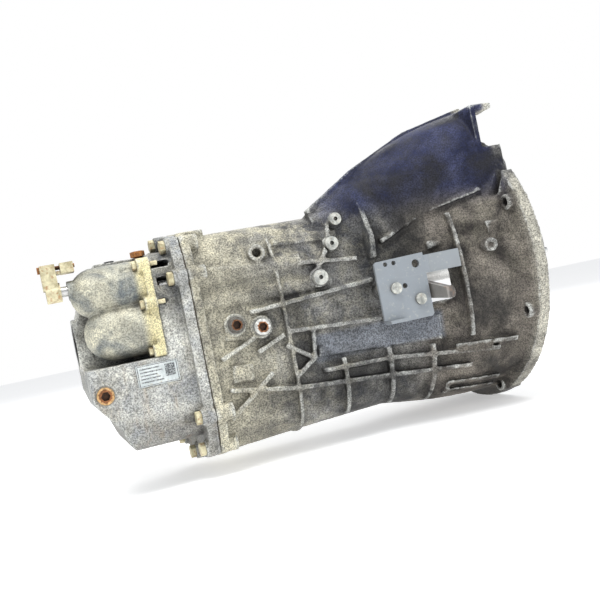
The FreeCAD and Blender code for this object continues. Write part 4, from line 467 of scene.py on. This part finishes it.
MATERIALS = {
    "front_casting": front_casting(), "tail_casting": tail_casting(),
    "cover_casting": cover_casting(),
    "gear_steel": oiled_steel("gear_steel", (0.20, 0.19, 0.18), (0.50, 0.49, 0.47), lathe=GEAR_LATHE),
    "shaft_steel": oiled_steel("shaft_steel", (0.26, 0.26, 0.26), (0.62, 0.62, 0.61), lathe=SHAFT_LATHE),
    "race_steel": oiled_steel("race_steel", (0.42, 0.42, 0.43), (0.78, 0.78, 0.79), (0.12, 0.26)),
    "bolt_steel": bolt_steel(), "plug_steel": plug_steel(), "rusted_steel": rusted_steel(),
    "fork_iron": fork_iron(), "bracket_zinc": bracket_zinc(), "brass": brass(),
    "seal_rubber": seal_rubber(), "gasket_fibre": gasket_fibre(), "label_film": label_film(),
    "breather_plastic": breather_plastic(),
}
INK = ink_grey()
OWN_MATERIALS = {
    "fill_plug": socket_plug("fill_plug", "fill_plug", (0.17, 0.16, 0.14), (0.20, 0.085, 0.035), 7.0 * MM),
    "level_plug": socket_plug("level_plug", "level_plug", (0.78, 0.78, 0.74), (0.34, 0.14, 0.055), 7.2 * MM),
    "drain_plug": socket_plug("drain_plug", "drain_plug", (0.70, 0.44, 0.20), (0.32, 0.13, 0.05), 8.2 * MM),
}


# ------------------------------------------------------------------ mesh helpers

def linked(name, mesh, material, smooth=True):
    """A new object with its material, in the scene."""
    piece = bpy.data.objects.new(name, mesh)
    bpy.context.scene.collection.objects.link(piece)
    mesh.materials.clear()
    mesh.materials.append(material)
    mesh.polygons.foreach_set("use_smooth", [smooth] * len(mesh.polygons))
    return piece


def added(piece, body):
    """A piece that the CAD doesn't have: it rides on a body."""
    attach(piece, body)
    return piece


def clouds(name, size, depth=2):
    """A cloud texture for displacement, with features of the given size."""
    made = bpy.data.textures.new(name, "CLOUDS")
    made.noise_scale = size
    made.noise_depth = depth
    return made


LUMPS = clouds("cast_lumps", LUMP_SIZE)
GRAIN = clouds("cast_grain", GRAIN_SIZE)


def settled(piece):
    """The piece's mesh with its modifiers applied."""
    bpy.context.view_layer.update()
    shown = piece.evaluated_get(bpy.context.evaluated_depsgraph_get())
    mesh = bpy.data.meshes.new_from_object(shown)
    piece.modifiers.clear()
    return mesh


def casting(node, extras=()):
    """A rounded and rough-skinned copy of a CAD casting, with extra closed shapes fused in."""
    low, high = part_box(node)
    voxel, most_faces = CASTINGS[node]
    made = bmesh.new()
    made.from_mesh(NODES[node].data)
    for extra in extras:
        made.from_mesh(extra)
    bmesh.ops.remove_doubles(made, verts=made.verts, dist=WELD)
    raw = bpy.data.meshes.new(f"{node}_raw")
    made.to_mesh(raw)
    made.free()
    piece = linked(f"{node}_skin", raw, MATERIALS[SLOTS[node]])
    remesh = piece.modifiers.new("remesh", "REMESH")
    remesh.mode = "VOXEL"
    remesh.voxel_size = voxel * 1.0
    soften = piece.modifiers.new("soften", "SMOOTH")
    soften.factor = 0.5
    soften.iterations = 2
    for texture, strength in ((LUMPS, LUMP_HEIGHT), (GRAIN, GRAIN_HEIGHT)):
        rough = piece.modifiers.new("rough", "DISPLACE")
        rough.texture = texture
        rough.strength = strength
    mesh = settled(piece)
    piece.data = mesh
    triangles = sum(len(face.vertices) - 2 for face in mesh.polygons)
    if triangles > most_faces:
        thin = piece.modifiers.new("thin", "DECIMATE")
        thin.ratio = most_faces / triangles
        mesh = settled(piece)
        piece.data = mesh
    for vert in mesh.vertices:
        vert.co = [min(max(value, low[i]), high[i]) for i, value in enumerate(vert.co)]
    mesh.materials.clear()
    mesh.materials.append(MATERIALS[SLOTS[node]])
    mesh.polygons.foreach_set("use_smooth", [True] * len(mesh.polygons))
    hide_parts(node)
    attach(piece, "root")
    return piece


def boxes_mesh(name, corners):
    """One mesh of closed boxes, each given by its lowest and highest corner in metres."""
    made = bmesh.new()
    for low, high in corners:
        low, high = Vector(low), Vector(high)
        size = Matrix.Diagonal((*(high - low), 1))
        bmesh.ops.create_cube(made, matrix=Matrix.Translation((low + high) / 2) @ size)
    mesh = bpy.data.meshes.new(name)
    made.to_mesh(mesh)
    made.free()
    return mesh


# ------------------------------------------------------------------ which node wears what

SLOTS = {
    "front_case": "front_casting", "tail_case": "tail_casting", "selector_cover": "cover_casting",
}


def dress_nodes():
    """Each CAD node gets the material of its own slot, found by the name that the slot left."""
    for name, node in NODES.items():
        slot = SLOTS.get(name) or node.data.materials[0].name.split(".")[0]
        node.data.materials.clear()
        node.data.materials.append(OWN_MATERIALS.get(name) or MATERIALS[slot])


# ------------------------------------------------------------------ label print

PRINT_HEIGHT = 0.15 * MM


def label_print():
    """A border and blank blocks, standing a hair proud of the label."""
    low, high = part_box("label_plate")
    front = low.y - PRINT_HEIGHT
    long, tall = high.x - low.x, high.z - low.z
    blocks = [(0.02, 0.03, 0.98, 0.06), (0.02, 0.94, 0.98, 0.97), (0.02, 0.03, 0.04, 0.97),
              (0.96, 0.03, 0.98, 0.97), (0.68, 0.30, 0.92, 0.86)]
    blocks += [(0.08, 0.18 + 0.15 * row, 0.62 - 0.07 * (row % 3), 0.24 + 0.15 * row) for row in range(5)]
    corners = [((low.x + left * long, front, low.z + bottom * tall),
                (low.x + right * long, low.y, low.z + top * tall)) for left, bottom, right, top in blocks]
    mesh = boxes_mesh("label_print", corners)
    return added(linked("label_print", mesh, INK, smooth=False), "root")


# ------------------------------------------------------------------ camera, floor and light

AZIMUTH = math.radians(18.7)
ROLL = math.radians(11.5)
DISTANCE = 1.15
AIM = Vector((-0.2798, 0, 0))
LENS, SENSOR = 48, 36       # millimetres, as Blender wants them

FLOOR_HALF = 6
FLOOR_GAP = 1 * MM
FLOOR_GLOW = 0.42
WHITE = (1, 1, 1, 1)
SKY_TINT, SKY_STRENGTH = (0.95, 0.97, 1.0, 1), 0.5
LAMPS = (                   # name, place, size, watts, colour
    ("key", (-0.7, -0.7, 1.9), 1.0, 34, (1, 1, 1)),
    ("front_fill", (0.9, -1.9, 0.7), 1.8, 8, (0.92, 0.96, 1.0)),
    ("back", (0.4, 1.8, 1.4), 1.6, 25, (1, 1, 1)),
)


def camera():
    """Stands level with the shafts, behind the plug side, and is rolled so that the tail hangs."""
    ahead = Vector((math.sin(AZIMUTH), math.cos(AZIMUTH), 0))
    level = Vector((math.cos(AZIMUTH), -math.sin(AZIMUTH), 0))
    right = level * math.cos(ROLL) - Vector((0, 0, math.sin(ROLL)))
    above = right.cross(ahead)
    lens = bpy.data.cameras.new("camera")
    lens.lens = LENS
    lens.sensor_width = SENSOR
    made = bpy.data.objects.new("camera", lens)
    bpy.context.scene.collection.objects.link(made)
    turn = Matrix((right, above, -ahead)).transposed()
    made.matrix_world = Matrix.Translation(AIM - ahead * DISTANCE) @ turn.to_4x4()
    bpy.context.scene.camera = made


def floor():
    """A plain pale sheet under the gearbox, lifted towards white by a little light of its own."""
    paint = Paint("studio_floor", specular=0.2)
    paint.shader.inputs["Emission Color"].default_value = WHITE
    paint.shader.inputs["Emission Strength"].default_value = FLOOR_GLOW
    paint.finish(paint.mix(paint.noise(3), (0.90, 0.90, 0.90), (0.93, 0.93, 0.93)), 0.9)
    ground = CAD_BOUNDS[0][2] - FLOOR_GAP
    made = bmesh.new()
    bmesh.ops.create_grid(made, size=FLOOR_HALF, x_segments=1, y_segments=1,
                          matrix=Matrix.Translation((0, 0, ground)))
    mesh = bpy.data.meshes.new("studio_floor")
    made.to_mesh(mesh)
    made.free()
    linked("studio_floor", mesh, paint.material, smooth=False)


def area_light(name, place, size, watts, colour):
    """A square lamp that faces the gearbox."""
    lamp = bpy.data.lights.new(name, "AREA")
    lamp.size = size
    lamp.energy = watts
    lamp.color = colour
    made = bpy.data.objects.new(name, lamp)
    bpy.context.scene.collection.objects.link(made)
    made.location = place
    made.rotation_euler = (AIM - Vector(place)).to_track_quat("-Z", "Y").to_euler()


def light():
    """Even sky light on the metal, a white backdrop for the camera, and three lamps."""
    world = bpy.data.worlds.new("studio")
    bpy.context.scene.world = world
    world.use_nodes = True
    tree = world.node_tree
    sky = tree.nodes["Background"]
    sky.inputs["Color"].default_value = SKY_TINT
    sky.inputs["Strength"].default_value = SKY_STRENGTH
    backdrop = tree.nodes.new("ShaderNodeBackground")
    backdrop.inputs["Color"].default_value = WHITE
    rays = tree.nodes.new("ShaderNodeLightPath")
    either = tree.nodes.new("ShaderNodeMixShader")
    tree.links.new(rays.outputs["Is Camera Ray"], either.inputs[0])
    tree.links.new(sky.outputs[0], either.inputs[1])
    tree.links.new(backdrop.outputs[0], either.inputs[2])
    tree.links.new(either.outputs[0], tree.nodes["World Output"].inputs["Surface"])
    for lamp in LAMPS:
        area_light(*lamp)
    bpy.context.scene.view_settings.view_transform = "Standard"


# ------------------------------------------------------------------ build

dress_nodes()
recess_corners = [[MM * value for value in corner] for corner in RECESS_FLOOR]
casting("front_case", [boxes_mesh("recess_floor", [recess_corners])])
casting("tail_case")
casting("selector_cover")
label_print()
camera()
floor()
light()
